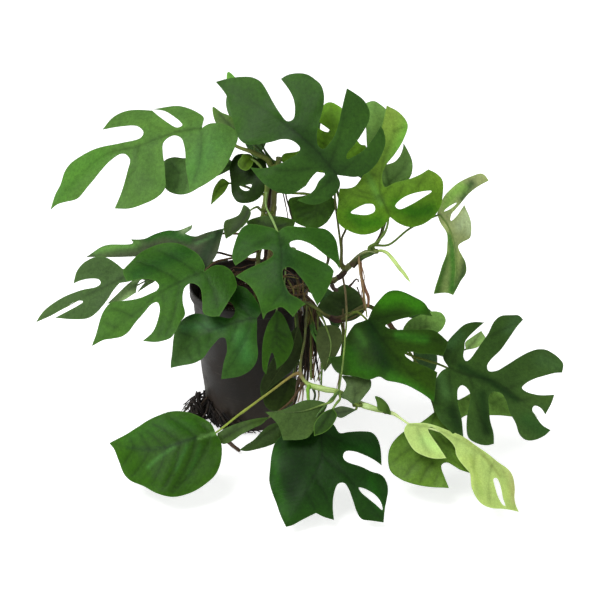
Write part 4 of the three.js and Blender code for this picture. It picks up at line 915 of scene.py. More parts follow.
def hung(draw):
    """The route of a rootlet that hangs down in front of the pot's wall."""
    left, low = draw.uniform(*HANGING["across"]), draw.uniform(*HANGING["ends"])
    depth = draw.uniform(*HANGING["depths"])
    return route([
        [left + draw.uniform(-3, 3), draw.uniform(*HANGING["tops"]), depth],
        [left + draw.uniform(-3, 3), HANGING["middle"] + draw.uniform(-8, 8), depth + draw.uniform(-3, 6)],
        [left + draw.uniform(-5, 4), low, depth + draw.uniform(-4, 8)],
    ])


draw = random.Random(21)
rootlet_skin = bark_material("rootlet_skin", "#2a1c12", 0.6, 0.75, 0.6)
shells = []
for kind, routed in ((ON_WALL, along_wall), (ON_SOIL, over_soil)):
    for _ in range(kind["strands"]):
        line = routed(draw)
        shells.append(strand(line, ROOTLET_RADIUS, ROOTLET_TIP, draw.sample(kind["codes"], 2), draw=draw))
piece("pot_rootlets", shells, rootlet_skin, "soil")

shells = []
for line in KNOT_LINES:
    for _ in range(KNOT["copies"]):
        shades = draw.sample(KNOT["codes"], 2)
        thin = frayed(route(line), KNOT["spread"], draw)
        shells.append(strand(thin, KNOT["radius"], KNOT["tip"], shades, 2.0, draw=draw))
for _ in range(HANGING["strands"]):
    line = hung(draw)
    shades = draw.sample(HANGING["codes"], 2)
    shells.append(strand(line, HANGING["radius"], HANGING["tip"], shades, draw=draw))
for line, radius, codes in LOOSE:
    taper = tapered(radius, LOOSE_TAPER * radius)
    shells.append(swept(route(line), taper, 7, 2.0, graded(codes), 0.15, radius * 9))
piece("rim_rootlets", shells, rootlet_skin, "roots_rim")

# ---- Leaves ----
# Each leaf is a leathery blade about half a millimetre thick, split to near its midrib and here and there
# pierced, on a stalk that runs on under it as its midrib. Its upper side is satin and deeper green, with a
# crease along the midrib and each side vein, darkened with painted shade; its underside is paler and dull.
# An outline is a list of smooth runs of edge, each [x, y, x, y, ...] in the window, from one sharp corner to
# the next. toward is how far the leaf's base stands out of the window, faces is how far its upper side
# turns right and up in degrees, and a stalk starts at the stem that it grows on. A patch is a soft stroke of
# another colour: its line, its reach to each side and its code. Most patches are painted shade, sheen and
# highlights; a few give the leaf's own paler or darker tone.
LEAVES = {}
LEAVES["leaf_01"] = dict(
    green="#466b2c", tip="#4d732c", stalk="#5f6a30", stalk_size=2.3,
    patches=[([58, 196, 78, 170, 100, 155], 13, "#467526"), ([214, 146, 190, 172], 15, "#46742f")],
    toward=55, faces=[-35, 50], fold=-0.3, on="stem_a",
    midrib=[202, 128, 177, 131, 142, 145, 107, 154, 86, 169, 50, 209],
    outline=[
        [202, 128, 204, 118, 196, 111, 181, 107, 166, 107],
        [152, 108, 158, 109.2, 165, 111.5, 173, 116, 179, 120, 182, 124, 177, 126.5, 168, 122.5, 159, 116.5],
        [151.5, 109.4, 141, 108.6, 130, 109.8, 120, 113, 111, 118.5],
        [102, 129, 112, 126.3, 122, 125, 132, 125.3, 139, 127.5, 144, 133, 141, 138, 121, 143, 93, 150,
         72, 162, 66, 171, 61, 184, 54, 195],
        [50, 209, 57, 204, 66, 202, 78, 199, 89, 185, 100, 171, 111, 160, 120, 154, 125, 154, 130, 160,
         128, 171, 121, 191],
        [114, 208, 128, 208, 142, 204, 156, 197, 165, 187, 165, 174, 163, 153, 164, 142, 173, 135, 181, 138,
         184, 146, 186, 167],
        [189, 192, 205, 183, 222, 170, 232, 153, 238, 136, 233, 128, 224, 124, 212, 124],
    ],
    petiole=[[281, 170, 76], [268, 160, 75], [252, 152, 72], [238, 147, 65], [221, 138, 56]],
)
LEAVES["leaf_02"] = dict(
    green="#4e7137", stalk="#3f5a28",
    toward=41, faces=[-30, 50], on="stem_a",
    midrib=[235, 165, 200, 168, 163, 176],
    outline=[
        [235, 165, 226, 172, 212, 179, 198, 188, 187, 193, 178, 194, 168, 191, 163, 183, 161, 170,
         164, 160.5, 173, 157, 186, 158, 204, 153, 222, 155],
    ],
    petiole=[[280, 176, 70], [264, 168, 45]],
)
LEAVES["leaf_03"] = dict(
    green="#638a2b",
    toward=47, faces=[-20, 40], on="stem_b",
    midrib=[229, 182, 219, 188, 211, 205],
    outline=[[229, 182, 222, 178, 215, 186], [211, 205, 224, 193, 227, 188]],
    petiole=[[265, 196, 64], [254, 190, 46], [238, 184, 45]],
)
LEAVES["leaf_04"] = dict(
    green="#1c3109", stalk="#3f5a28",
    toward=57, faces=[-10, 35], on="stem_b",
    midrib=[256, 158, 257.5, 180, 249, 202],
    outline=[
        [256, 158, 246, 154, 236, 155, 230, 165, 230, 180, 232, 194, 238, 202, 248, 203, 258, 199, 265, 190,
         267, 172, 264, 158],
    ],
    holes=[[239, 186, 244, 190.5, 249, 190.5, 252, 184.5, 246, 185]],
    petiole=[[270, 172, 75], [268, 164, 73], [262, 156, 62]],
)
LEAVES["leaf_05"] = dict(
    green="#4b692d", stalk="#3f5a28",
    toward=46, faces=[-20, 50], on="stem_a",
    midrib=[234, 130, 225, 120, 213, 107],
    outline=[[213, 107, 222, 113, 232, 118, 237, 129, 228, 134, 217, 125]],
    petiole=[[279, 168, 72], [258, 148, 60]],
)
LEAVES["leaf_06"] = dict(
    green="#5f9a33", stalk="#3f5a28",
    toward=60, faces=[0, 40], on="stem_a",
    midrib=[257, 130, 246, 104, 228, 72],
    outline=[[228, 72, 238, 80, 252, 95, 262, 118, 258, 130, 242, 122, 232, 98, 227, 84]],
    petiole=[[282, 166, 78], [265, 151, 68]],
)
LEAVES["leaf_07"] = dict(
    green="#284914", tip="#2e5018", stalk="#4c5229",
    # Painted shade along the midrib from the base.
    patches=[([337, 175, 315, 148, 290, 128], 13, "#1f3a12")],
    toward=95, faces=[-10, 35], fold=0.06, arch=0.1, on="vine_c",
    midrib=[337, 175, 313, 147, 283, 123, 261, 108, 216, 82],
    outline=[
        [337, 175, 340, 184, 338, 191, 331, 198, 319, 204, 307, 204],
        [297, 200, 306, 196, 314, 190, 319, 181, 325, 174, 321, 170, 314, 175],
        [306, 186, 292, 194, 278, 192, 267, 186, 258, 177],
        [250, 167, 264, 168, 279, 164, 290, 158, 298, 153, 300, 148, 297, 144, 290, 140, 281, 139, 273, 141,
         256, 144, 246, 144, 240, 140, 235, 129, 231, 112, 226, 95],
        [216, 82, 228, 79, 240, 77, 252, 77, 260, 81, 266, 89, 273, 102, 280, 113, 287, 121, 293, 119,
         295, 111, 294, 101, 289, 90],
        [281, 79, 287, 75, 297, 73, 307, 74, 315, 79, 321, 85, 324, 95, 323, 108, 319, 123, 317, 135,
         318, 145, 323, 149, 329, 144, 335, 135, 339, 123, 342, 108],
        [347, 88, 355, 93, 364, 100, 370, 111, 369, 121, 363, 132, 355, 144, 347, 154, 347, 159, 353, 157,
         364, 150, 373, 139],
        [381, 126, 384, 131, 386, 142, 382, 154, 376, 165, 366, 174, 355, 177, 345, 176],
    ],
    petiole=[[345, 270, 58], [341, 250, 64], [338, 224, 72], [335, 200, 82]],
)
LEAVES["leaf_08"] = dict(
    green="#699a27", stalk="#4c4a29",
    toward=76, faces=[0, 40], on="vine_c",
    midrib=[335, 173, 334, 140, 330, 104],
    outline=[
        [324, 104, 331, 102, 341, 108, 347, 120, 352, 131, 357, 140, 361, 144.5, 366, 145.5, 364, 156,
         352, 168, 335, 173, 318, 172, 300, 168, 281, 160, 283, 154, 300, 150, 312, 135, 318, 118],
    ],
    holes=[[317, 120, 322, 124.5, 331, 131.5, 324, 131.5, 317, 126]],
    petiole=[
        [347, 268, 57], [342, 250, 56], [342, 238, 60], [346, 228, 62], [343, 210, 66], [337, 190, 73],
    ],
)
LEAVES["leaf_09"] = dict(
    green="#658c43", stalk="#5c7434",
    toward=52, faces=[15, 30], on="vine_c",
    midrib=[390, 187, 382, 150, 374, 104],
    outline=[
        [364, 104, 374, 101, 386, 109, 389, 118], [387, 164.5, 395, 161.5, 400.5, 155, 403, 147],
        [403, 143, 408, 150, 411.5, 158, 412.5, 167, 410, 178, 397, 188, 385, 187, 374, 172, 368, 155,
         367, 144, 366, 130, 364, 116],
    ],
    petiole=[[370, 252, 61], [378, 243, 53], [384, 227, 50], [390, 204, 49]],
)
LEAVES["leaf_10"] = dict(
    green="#4b7411", tip="#7b973e", stalk="#5c7434",
    # Painted light and shade: the paler strokes stand for light that the blade catches, the darker ones for
    # its shade.
    patches=[
        ([366, 172, 373, 186, 381, 203], 3.5, "#5c8a30"),
        ([400, 160, 411, 135, 419, 118], 13, "#639c35"),
        ([398, 205, 415, 213, 430, 210], 8, "#2c6004"),
        ([352, 215, 362, 224, 378, 222], 7, "#356a08"),
    ],
    toward=70, faces=[15, 30], fold=-0.08, arch=0.06, on="vine_c",
    midrib=[390, 217, 380, 190, 384, 158, 394, 130, 387, 105],
    outline=[
        [390, 217, 398, 223, 409, 227, 422, 225, 433, 218, 441, 207, 444, 195, 443, 180, 437, 173],
        [429, 169, 421, 174, 409, 179, 394, 183, 385, 187, 382, 178, 385, 167, 394, 155, 403, 140, 408, 126,
         406, 119, 399, 112], [387, 105, 383, 122, 377, 145, 370, 162, 362, 177, 355, 186, 349, 188],
        [340, 188, 338, 204, 337, 215, 340, 225, 351, 232, 364, 235, 376, 232, 384, 225],
    ],
    holes=[
        [395, 206, 399, 209, 410, 205, 422, 198, 432, 191, 415, 193, 403, 198],
        [351, 213, 359, 207, 367, 204, 374, 205, 375, 211, 368, 215, 359, 215],
    ],
    petiole=[[370, 253, 62], [377, 242, 68], [386, 230, 70]],
)
LEAVES["leaf_11"] = dict(
    green="#a2b871", tip="#8cb14f", back_seen=True, under="#868b60", stalk="#5c7434",
    patches=[
        ([445, 258, 441, 275, 437, 292], 6, "#1b4a08"),
        ([466, 254, 463, 272, 457, 290], 5, "#2a4a24"),
        ([448, 236, 452, 248, 453, 270, 451, 291], 4, "#2f6a1e"),
        ([470, 184, 465, 190, 461, 198], 4.5, "#2c4a28"),
        ([446, 205, 452, 194, 460, 187], 6, "#7fae4a"),
        ([460, 226, 466, 214, 470, 230], 6, "#b0c490"),
    ],
    toward=46, faces=[35, 15], fold=-0.2, on="vine_c",
    midrib=[438, 214, 448, 228, 455, 258, 453, 295],
    outline=[
        [437, 214, 444, 197, 451, 189, 458, 183, 472, 176, 481, 174],
        [487, 181, 476, 187, 467, 194, 461, 202, 456, 209, 452, 214, 451, 221, 457, 216],
        [464, 205, 468, 215, 472, 231, 471, 238, 464, 242, 459, 246, 461, 254, 465, 263, 466, 272, 460, 282],
        [453, 295, 447, 293], [434, 294, 438, 280, 442, 266, 447, 253, 447, 243, 446, 233, 440, 222],
    ],
    holes=[[444, 211.5, 449, 206.5, 456.5, 202.5, 454.5, 205.5, 449.5, 209.5]],
    petiole=[[374, 252, 62], [388, 245, 63], [409, 229, 54], [428, 219, 48]],
)
LEAVES["leaf_12"] = dict(
    green="#2f441d", stalk="#3a3020",
    toward=92, faces=[0, 40], on="vine_e",
    midrib=[281, 424, 262, 436, 239, 451],
    outline=[
        [281, 422, 270, 425, 261, 432, 254, 439.5, 246, 445],
        [239.5, 450, 246, 451.3, 256, 449.5, 268, 446, 278, 441, 284, 432],
    ],
    petiole=[[302, 380, 88], [295, 402, 84]],
)
LEAVES["leaf_13"] = dict(
    green="#264b12", tip="#2c5115", stalk="#7d9a5a", stalk_size=0.6,
    patches=[([285, 252, 288, 290], 12, "#1f3f15")],
    toward=110, faces=[0, 45], fold=-0.15, arch=0.08, on="stem_b",
    midrib=[278, 231, 281, 250, 282, 280, 293, 317],
    outline=[
        [278, 231, 286, 227, 300, 227, 315, 227, 325, 228, 332, 233, 337, 240, 339, 252],
        [340, 269, 335, 262, 327, 255, 318, 249, 307, 243, 298, 240, 290, 242, 291, 247, 299, 251, 310, 255,
         323, 261, 330, 266], [334, 271, 332, 279, 327, 291],
        [317, 306, 314, 299, 308, 287, 300, 276, 294, 269, 288, 267, 283, 270, 283, 278, 286, 287, 290, 294,
         298, 298], [306, 304, 300, 308], [293, 317, 286, 310, 281, 307, 273, 310, 267, 313],
        [263, 320, 261, 310, 256, 295, 249, 285],
        [235, 275, 245, 269, 257, 264, 268, 259, 273, 254, 271, 250, 265, 249, 256, 251, 246, 258],
        [235, 265, 232, 258, 233, 248, 237, 236, 242, 228, 249, 224, 257, 224, 266, 226, 273, 228],
    ],
    petiole=[[263, 191, 64], [266, 206, 86], [273, 221, 102]],
)
LEAVES["leaf_14"] = dict(
    green="#2b3f15",
    toward=96, faces=[-20, 40], on="stem_b",
    midrib=[249, 210, 240, 224, 226, 239],
    outline=[
        [244, 205, 249, 208, 251, 213, 248, 220, 239, 230, 231, 236],
        [226, 239, 224, 229, 226, 221, 231, 219, 239, 215],
    ],
    petiole=[[263, 209, 60], [257, 207, 78]],
)
LEAVES["leaf_15"] = dict(
    green="#29420e",
    toward=82, faces=[0, 50], on="stem_a",
    midrib=[256, 220, 275, 226, 296, 222],
    outline=[[246, 222, 256, 217, 270, 216, 284, 217], [296, 221, 290, 232, 270, 237, 253, 232]],
    petiole=[[270, 214, 56], [262, 216, 70]],
)
LEAVES["leaf_16"] = dict(
    green="#345517",
    toward=66, faces=[0, 30], on="stem_a",
    midrib=[322, 196, 316, 210, 318, 228],
    outline=[
        [289, 199, 302, 196, 318, 194, 331, 196, 336, 204, 333, 213, 326, 223, 316, 228.5, 303, 226,
         293, 221, 289, 210],
    ],
    petiole=[[273, 188, 55], [290, 193, 60], [308, 194, 65]],
)
LEAVES["leaf_17"] = dict(
    green="#2b5213", tip="#3c6220", stalk="#4a3b2a",
    patches=[([188, 250, 160, 262, 136, 275], 9, "#1f4710")],
    toward=85, faces=[-25, 50], fold=-0.2, arch=0.08, on="stem_b",
    midrib=[204, 272, 180, 281, 158, 294, 130, 317, 92, 346],
    outline=[
        [204, 272, 215, 265, 225, 266, 233, 273, 237, 285, 230, 299, 224, 309],
        [219, 316, 210, 316, 203, 312, 202, 300, 200, 288, 191, 283, 185, 287, 183, 294, 183, 303, 185, 314,
         180, 322, 176, 330, 171, 337, 163, 340.5, 155, 342],
        [142.5, 341, 152, 332, 157.5, 321, 160, 309, 157, 302, 151, 304, 143, 313, 136, 322, 129, 332,
         122, 336.7, 112, 338.7, 103, 340],
        [92, 346, 97, 329, 105, 311, 112, 303, 122, 301.5, 131, 300, 141, 297.3, 150, 293.5, 157, 290,
         159, 286, 156, 282, 146, 279],
        [126, 281, 123, 271, 131, 262, 142, 251, 160, 244, 181, 244, 194, 251, 202, 260, 205, 267],
    ],
    petiole=[[259, 250, 37], [244, 256, 54], [227, 259, 66], [214, 263, 77]],
)
LEAVES["leaf_18"] = dict(
    green="#3c562a", stalk="#4a3b2a",
    toward=55, faces=[-35, 50], arch=0.06, on="stem_b",
    midrib=[150, 264, 118, 280, 92, 293, 36, 322],
    outline=[
        [150, 264, 141, 266, 132, 270],
        [123, 269.5, 117, 264, 110.5, 259.5, 103, 256.5, 94, 257, 84, 262, 77, 271],
        [73, 283, 80, 280, 89, 278, 98, 279, 101, 283, 97, 287, 79, 291, 61, 297, 46, 308],
        [36, 322, 50, 316, 63, 308, 77, 301, 84, 302, 78, 306, 68, 311],
        [55, 318, 73, 319, 88, 318, 96, 313, 102, 306, 107, 299, 113, 290],
        [119.5, 283, 130, 281, 142, 276, 149, 270],
    ],
    petiole=[[258, 258, 30], [243, 257.5, 36], [230, 255.5, 38], [217, 252.5, 39], [190, 256, 40]],
)
LEAVES["leaf_19"] = dict(
    green="#3a432d", stalk="#4a3b2a",
    # Painted shade and light: darker strokes where the blade is shaded, paler ones where it catches light.
    patches=[
        ([220, 233, 211, 242, 204, 256, 202, 268], 7, "#1c3214"),
        ([148, 237, 165, 233, 188, 238], 6, "#235014"),
        ([196, 243, 213, 235], 2, "#3f5f35"),
        ([135, 243, 120, 245, 96, 250], 6, "#527c38"),
        ([190, 226, 183, 231], 3, "#728a60"),
    ],
    toward=56, faces=[-35, 50], on="stem_b",
    midrib=[223, 232, 180, 243, 130, 249, 86, 257],
    outline=[
        [86, 257, 106, 246, 132, 242], [130, 238.5, 144, 238, 155, 234, 168, 231, 178, 231],
        [192.5, 225, 191.5, 228.5, 188, 231.5],
        [185, 233.5, 190, 235, 196, 235.3, 201, 233.5, 208, 231.5, 216, 230],
        [224, 228.5, 221.5, 240, 218, 251, 212.5, 260, 205, 267.5],
        [203, 268, 188, 262, 160, 257, 125, 257, 105, 257],
    ],
    petiole=[[260, 236, 44], [240, 234, 54]],
)
LEAVES["leaf_20"] = dict(
    green="#83a366", stalk="#4a3b2a",
    toward=46, faces=[-35, 50], on="stem_b",
    midrib=[150, 277, 133, 287, 110, 302],
    outline=[
        [154, 275, 142, 277, 133, 280, 127, 284, 118, 292], [107, 303.5, 115, 302, 124, 299.5, 131, 295.5],
        [136, 292.5, 136.8, 286, 139.5, 280.5, 142.5, 279, 145, 281, 141, 287],
        [137, 293, 144, 288.5, 150, 284.5, 155, 281],
    ],
    petiole=[[258, 272, 26], [220, 276, 34], [170, 275, 40]],
)
LEAVES["leaf_21"] = dict(
    green="#21480c", tip="#3e602c", stalk="#4a3b2a",
    # Painted shade on the upper-right arm and below it, and painted sheen across the middle and on the right
    # lobe.
    patches=[
        ([215, 292, 235, 295, 253, 309], 8, "#123806"),
        ([180, 316, 200, 315, 224, 318], 5, "#133a08"),
        ([184, 328, 204, 326, 222, 327], 5, "#355e30"),
        ([240, 335, 246, 356], 8, "#34662a"),
    ],
    toward=88, faces=[-15, 40], fold=-0.2, arch=0.06, on="soil",
    midrib=[257, 318, 232, 323, 200, 336, 171, 368],
    outline=[
        [257, 318, 257, 342, 258, 354, 256, 362, 250, 370, 240, 376, 230, 378],
        [221, 379, 224, 362, 227, 350, 225, 338, 220, 338, 215, 343, 209, 350, 203, 358, 194, 363, 180, 366],
        [171, 368, 173, 342, 176, 329, 183, 319, 194, 314, 206, 315, 219, 316, 231, 317, 235, 310, 231, 303,
         222, 300], [208, 296, 213, 289, 226, 286, 242, 286, 252, 294, 259, 305, 261, 313],
    ],
    petiole=[at(2, -30, 100), at(3, -40, 140), at(6, -61, 151), [256, 312, 78]],
)
LEAVES["leaf_22"] = dict(
    green="#274a08",
    toward=92, faces=[15, 25], on="soil",
    midrib=[277, 311, 277, 335, 272, 353],
    outline=[
        [277, 310, 283, 314, 289, 328, 294, 343, 288, 357], [276, 369, 275, 360, 272, 352, 269, 360],
        [266, 374, 263, 370, 262, 356, 263, 340, 268, 324],
    ],
    petiole=[at(16, -26, 100), at(19, -38, 140), at(26, -57, 151), [277, 307, 78]],
)
LEAVES["leaf_23"] = dict(
    green="#19290d", back_seen=True, under="#2f3b1c", stalk="#3c4a24", rib="#34431f",
    toward=74, faces=[0, 20], on="soil",
    midrib=[298, 326, 289, 353, 262, 396],
    outline=[
        [298, 325, 302, 340, 300, 358, 292, 370, 281, 379, 270, 388],
        [261, 398, 261, 384, 267, 369, 277, 352, 288, 336],
    ],
    petiole=[at(26, -28, 100), at(30, -36, 140), at(37, -50, 151), [295, 310, 66]],
)
LEAVES["leaf_24"] = dict(
    green="#1e3707", tip="#274307",
    # Painted light and shade: the top lobe lit, a highlight on the left lobe, and shade along the middle.
    patches=[
        ([384, 300, 404, 296, 418, 304], 9, "#2f6a0c"),
        ([370, 326, 378, 350, 386, 368], 9, "#102c06"),
        ([357, 331, 364, 343], 4, "#2d5518"),
        ([351, 352, 354, 368, 372, 373], 8, "#245208"),
        ([398, 335, 426, 339], 4, "#2f6416"),
        ([392, 378, 415, 391, 430, 401], 7, "#2c5f10"),
    ],
    toward=80, faces=[20, 55], fold=-0.15, arch=0.07, on="vine_d",
    midrib=[368, 319, 384, 342, 405, 368, 434, 402],
    outline=[
        [368, 319, 373, 308, 380, 299, 388, 292, 398, 290, 408, 292, 417, 297, 426, 304],
        [433, 314, 421, 314, 411, 317, 398, 320, 390, 323, 385, 326, 391, 329, 404, 329, 419, 329, 433, 330,
         441, 334], [449, 341, 446, 349],
        [442, 357, 432, 354, 421, 353, 410, 351, 405, 354, 411, 359, 424, 366], [438, 372, 436, 385],
        [434, 402, 421, 393, 410, 387, 398, 383, 387, 380, 380, 376, 369, 379, 357, 377, 343, 374, 335, 369],
        [328, 357, 342, 354, 342.5, 344, 346, 337, 350, 330, 355, 324, 361, 321.5],
    ],
    petiole=[[348, 313, 60], [357, 312, 70]],
)
LEAVES["leaf_25"] = dict(
    green="#6a9344",
    toward=38, faces=[20, 50], on="vine_d",
    midrib=[408, 335, 426, 327, 445, 319],
    outline=[
        [403, 331, 408, 321, 418, 315, 431, 311, 441, 313.5, 445.5, 320, 443, 328, 437, 333, 424, 338,
         410, 338],
    ],
    petiole=[[391, 330, 49], [400, 335, 42]],
)
LEAVES["leaf_26"] = dict(
    green="#2c4818", tip="#3a5625",
    # Painted sheen on the lower-left and right lobes, and painted shade along the midrib and in the lower
    # lobes.
    patches=[
        ([439, 378, 446, 393], 7, "#3a5c2a"),
        ([452, 410, 458, 426], 7, "#18300e"),
        ([482, 395, 488, 430], 6, "#1a330f"),
        ([543, 360, 557, 365], 8, "#3c5c2c"),
        ([510, 328, 518, 318], 6, "#35532a"),
        ([460, 366, 490, 382, 516, 399], 4, "#18320e"),
        ([526, 420, 546, 433], 8, "#2f5220"),
        ([450, 345, 458, 335], 6, "#2f4f24"),
    ],
    toward=75, faces=[35, 55], fold=-0.05, arch=0.06, on="vine_d",
    midrib=[449, 367, 469, 375, 496, 383, 514, 394, 551, 430],
    outline=[
        [449, 367, 444, 361, 443, 351, 448, 341, 456, 332, 465, 324, 475, 321],
        [485, 321, 477, 328, 469, 336, 465, 342, 464, 350, 463, 357, 466, 361, 470, 359, 476, 351, 483, 341,
         489, 332, 495, 320, 502, 314, 512, 312.5, 520, 313],
        [524, 318, 518, 325, 509, 338, 501, 349, 492, 358, 487, 366, 488, 372, 496, 371.5, 507, 365,
         518, 358, 529, 352, 539, 348.5, 549, 348.5, 556, 352.5, 561, 358.5, 564, 364],
        [563, 372, 555, 373, 544, 376, 534, 379, 525, 384, 522, 388, 526, 391, 532, 393, 542, 395],
        [554, 395, 551, 404], [546, 414, 540, 408, 534, 406, 532, 410, 537, 418, 543, 425],
        [551, 430, 544, 436, 535, 440, 527, 440, 520, 434, 515, 424, 511, 415, 507, 403, 501, 394, 493, 392,
         489, 396, 488.5, 402, 490.5, 415, 493.5, 430],
        [494.5, 443.5, 487, 445, 478, 443, 470, 437, 467, 428, 467, 415, 470, 402, 470, 392, 462, 385,
         458, 389, 457.5, 397, 459, 407, 461, 417, 463, 428],
        [465, 438, 455, 434, 445, 425, 438, 414, 433, 402, 433, 390, 436, 379, 442, 371],
    ],
    petiole=[[404, 350, 58], [425, 360, 66], [438, 364, 70]],
)
LEAVES["leaf_27"] = dict(
    green="#91c258",
    toward=58, faces=[35, 55], on="vine_d",
    midrib=[456, 400, 485, 400, 512, 416],
    outline=[
        [454, 402, 464, 397.5, 471, 393, 478, 386, 490, 383, 504, 389, 511, 401],
        [512, 416.5, 500, 415.5, 486, 414.7, 474, 413.5, 466, 415.5, 458, 419, 452, 413],
    ],
    petiole=[[402, 345, 57], [424, 372, 54], [446, 390, 56]],
)
LEAVES["leaf_28"] = dict(
    green="#a7c16d", tip="#9fb962", stalk="#cfe39a",
    patches=[
        ([506, 452, 513, 475, 516, 500], 5, "#a1aa6a"),
        ([424, 440, 440, 448], 6, "#abcf74"),
        ([455, 431, 480, 450, 500, 476], 1.5, "#8a9c52"),
        ([462, 431, 487, 449, 506, 476], 1.2, "#93a45c"),
        ([430, 424, 436, 440], 1.2, "#9bbd66"),
        ([470, 455, 478, 478, 482, 495], 1.5, "#98b45c"),
    ],
    toward=118, faces=[20, 50], arch=0.06, on="vine_e",
    midrib=[408, 424, 441, 431, 475, 450, 503, 474, 519, 511],
    outline=[
        [408, 423, 426, 424, 441, 427, 455, 432.5, 468, 439.5, 482, 449.5, 496, 459.5, 507, 469, 513.5, 479,
         515.5, 488, 515, 497, 516.5, 505],
        [519.3, 511.6, 511, 510, 502, 509, 493, 508.5, 484.5, 505.5, 477, 499, 472, 489, 470, 473, 466, 469,
         460, 462, 456, 454, 455, 448, 449, 440, 441, 432.5, 434, 428, 429.5, 427, 428, 430, 433, 438,
         440, 449], [446.5, 458, 438, 458.5, 428, 457, 416, 451, 408, 441, 404, 432, 405, 427],
    ],
    holes=[
        [493.3, 479, 496, 478, 499, 482.5, 501.7, 490, 503.5, 499, 505.2, 506, 502.5, 504.5, 499.5, 499,
         496, 490.5],
    ],
    petiole=[[391, 413, 113], [400, 418, 115]],
)
LEAVES["leaf_29"] = dict(
    green="#4f7226", tip="#5b7d27",
    toward=86, faces=[-5, 55], on="vine_d",
    midrib=[436, 411, 428, 438, 432, 462, 451, 488],
    outline=[
        [436, 410, 422, 421, 403, 431, 392, 443, 388, 457, 390, 470, 400, 479, 413, 484, 430, 487],
        [449, 488, 445, 477, 441.5, 465, 447, 462.5, 454, 465.5, 461, 470],
        [471, 474, 472, 458, 462, 440, 450, 424],
    ],
    petiole=[[399, 340, 54], [414, 372, 66], [430, 396, 77]],
)
LEAVES["leaf_30"] = dict(
    green="#102d07", tip="#1a3f07", stalk="#77a63c", stalk_size=1.5,
    # Painted shade over the middle, and lighter strokes along the left edge and lower lobes where light
    # falls.
    patches=[
        ([300, 450, 296, 474, 290, 490], 10, "#0e2a05"),
        ([275, 452, 276, 484, 286, 516], 5, "#1f4a0a"),
        ([346, 444, 370, 450], 7, "#123a06"),
        ([372, 480, 379, 506], 6, "#184508"),
    ],
    toward=116, faces=[0, 45], fold=-0.1, on="vine_e",
    midrib=[318, 421, 322, 455, 308, 487, 286, 527],
    outline=[
        [318, 420, 326, 421, 334, 425, 340, 432, 349, 431, 363, 431, 373, 433, 380, 442],
        [382.3, 464, 373, 458, 365, 454, 354, 451, 345, 452, 343, 457, 346, 461, 361, 466.5, 373, 471,
         380, 472, 384.5, 475.5, 387.7, 483, 388.4, 491, 387, 500, 385.4, 508, 384.6, 515],
        [384, 522.5, 372, 520.7, 362, 519, 357, 512, 353, 500, 349, 489, 344, 483, 338, 484, 334, 494,
         333, 508], [334, 520, 324, 517], [316, 513, 302, 520, 293, 525],
        [286, 527, 280, 514, 276, 503, 272, 492, 269, 480, 270, 467, 272, 452, 276, 440, 290, 428, 305, 421],
    ],
    holes=[
        [359, 487, 364, 487.8, 370, 491, 376, 495.5, 380.3, 500.5, 382.6, 506, 382.8, 510, 376.5, 504.8,
         368, 498, 361.5, 492],
    ],
    petiole=[[310, 385, 91], [308, 392, 97], [309, 402, 106]],
)
LEAVES["leaf_31"] = dict(
    green="#284c07", tip="#2b5307", stalk=["#7d6a40", "#8a9040", "#86983e", "#84a03e"], rib="#7fa055",
    # Painted highlights along the side veins that fan from the base, and painted shade along the midrib.
    patches=[
        ([218, 432, 208, 435, 199, 438], 1.6, "#6a9a4a"),
        ([196, 438, 175, 445, 150, 449, 128, 448], 2, "#1f4409"),
        ([174, 447, 160, 456, 148, 467], 2, "#3c6e26"),
        ([187, 446, 181, 458, 176, 470], 2, "#2d5c18"),
        ([200, 446, 196, 458, 188, 474], 2, "#2b5616"),
        ([190, 425, 160, 425, 130, 436], 9, "#2a560e"),
    ],
    toward=105, faces=[-15, 50], fold=-0.12, arch=0.08, on="vine_e",
    midrib=[216, 433, 197, 437, 177, 444, 160, 449, 136, 449, 109, 443],
    outline=[
        [216, 433, 211, 424, 203, 418, 193, 413, 180, 411, 169, 412, 160, 415, 148, 420, 136, 428, 126, 435],
        [109, 443, 115, 450, 118, 460, 122, 471, 129, 480, 143, 486, 156, 493, 167, 496, 177, 496, 193, 491,
         206, 483, 215, 475, 220, 465, 222, 453, 221, 441],
    ],
    petiole=[[299, 374, 86], [270, 392, 92], [240, 414, 99]],
)
LEAVES["leaf_32"] = dict(
    green="#345220", back_seen=True, under="#405326", stalk="#7f9a4c", stalk_size=1.5, rib="#4a6030",
    toward=128, faces=[-10, 45], on="vine_e",
    midrib=[326, 404, 300, 412, 265, 412],
    outline=[
        [265, 412, 280, 411, 291, 407, 303, 401, 314, 400, 327, 404, 322, 416, 315, 429, 308, 438, 299, 440,
         290, 440], [283, 440, 278, 425, 270, 416],
    ],
    petiole=[[338, 391.5, 100], [334, 398, 114], [330, 402.5, 125]],
)
LEAVES["leaf_33"] = dict(
    green="#3a541f", stalk="#4a3a28",
    toward=90, faces=[0, 40], on="vine_e",
    midrib=[268, 418, 245, 426, 220, 440],
    outline=[
        [217, 433, 226, 427.5, 238, 423, 254, 419],
        [269, 417, 262, 424, 254, 428, 241, 435, 232, 441, 223, 444, 218, 439.5],
    ],
    petiole=[[305, 383, 89], [290, 402, 88]],
)
LEAVES["leaf_34"] = dict(
    green="#445933",
    toward=113, faces=[0, 40], on="vine_e",
    midrib=[354, 403, 355, 392, 350, 377],
    outline=[
        [342, 376, 350, 376, 370, 379, 371, 386, 366, 394, 359, 402, 353, 404, 347, 400, 341, 397, 345, 389,
         346, 383],
    ],
    petiole=[[362, 404, 107], [359, 406, 114]],
)
LEAVES["leaf_35"] = dict(
    green="#446222",
    toward=121, faces=[20, 40], on="vine_e",
    midrib=[389, 413, 386, 403, 375, 396],
    outline=[[375, 396, 383, 399, 389, 406, 391, 415, 384, 412, 378, 410, 377, 403]],
    petiole=[[386, 412, 112], [389, 413, 117]],
)
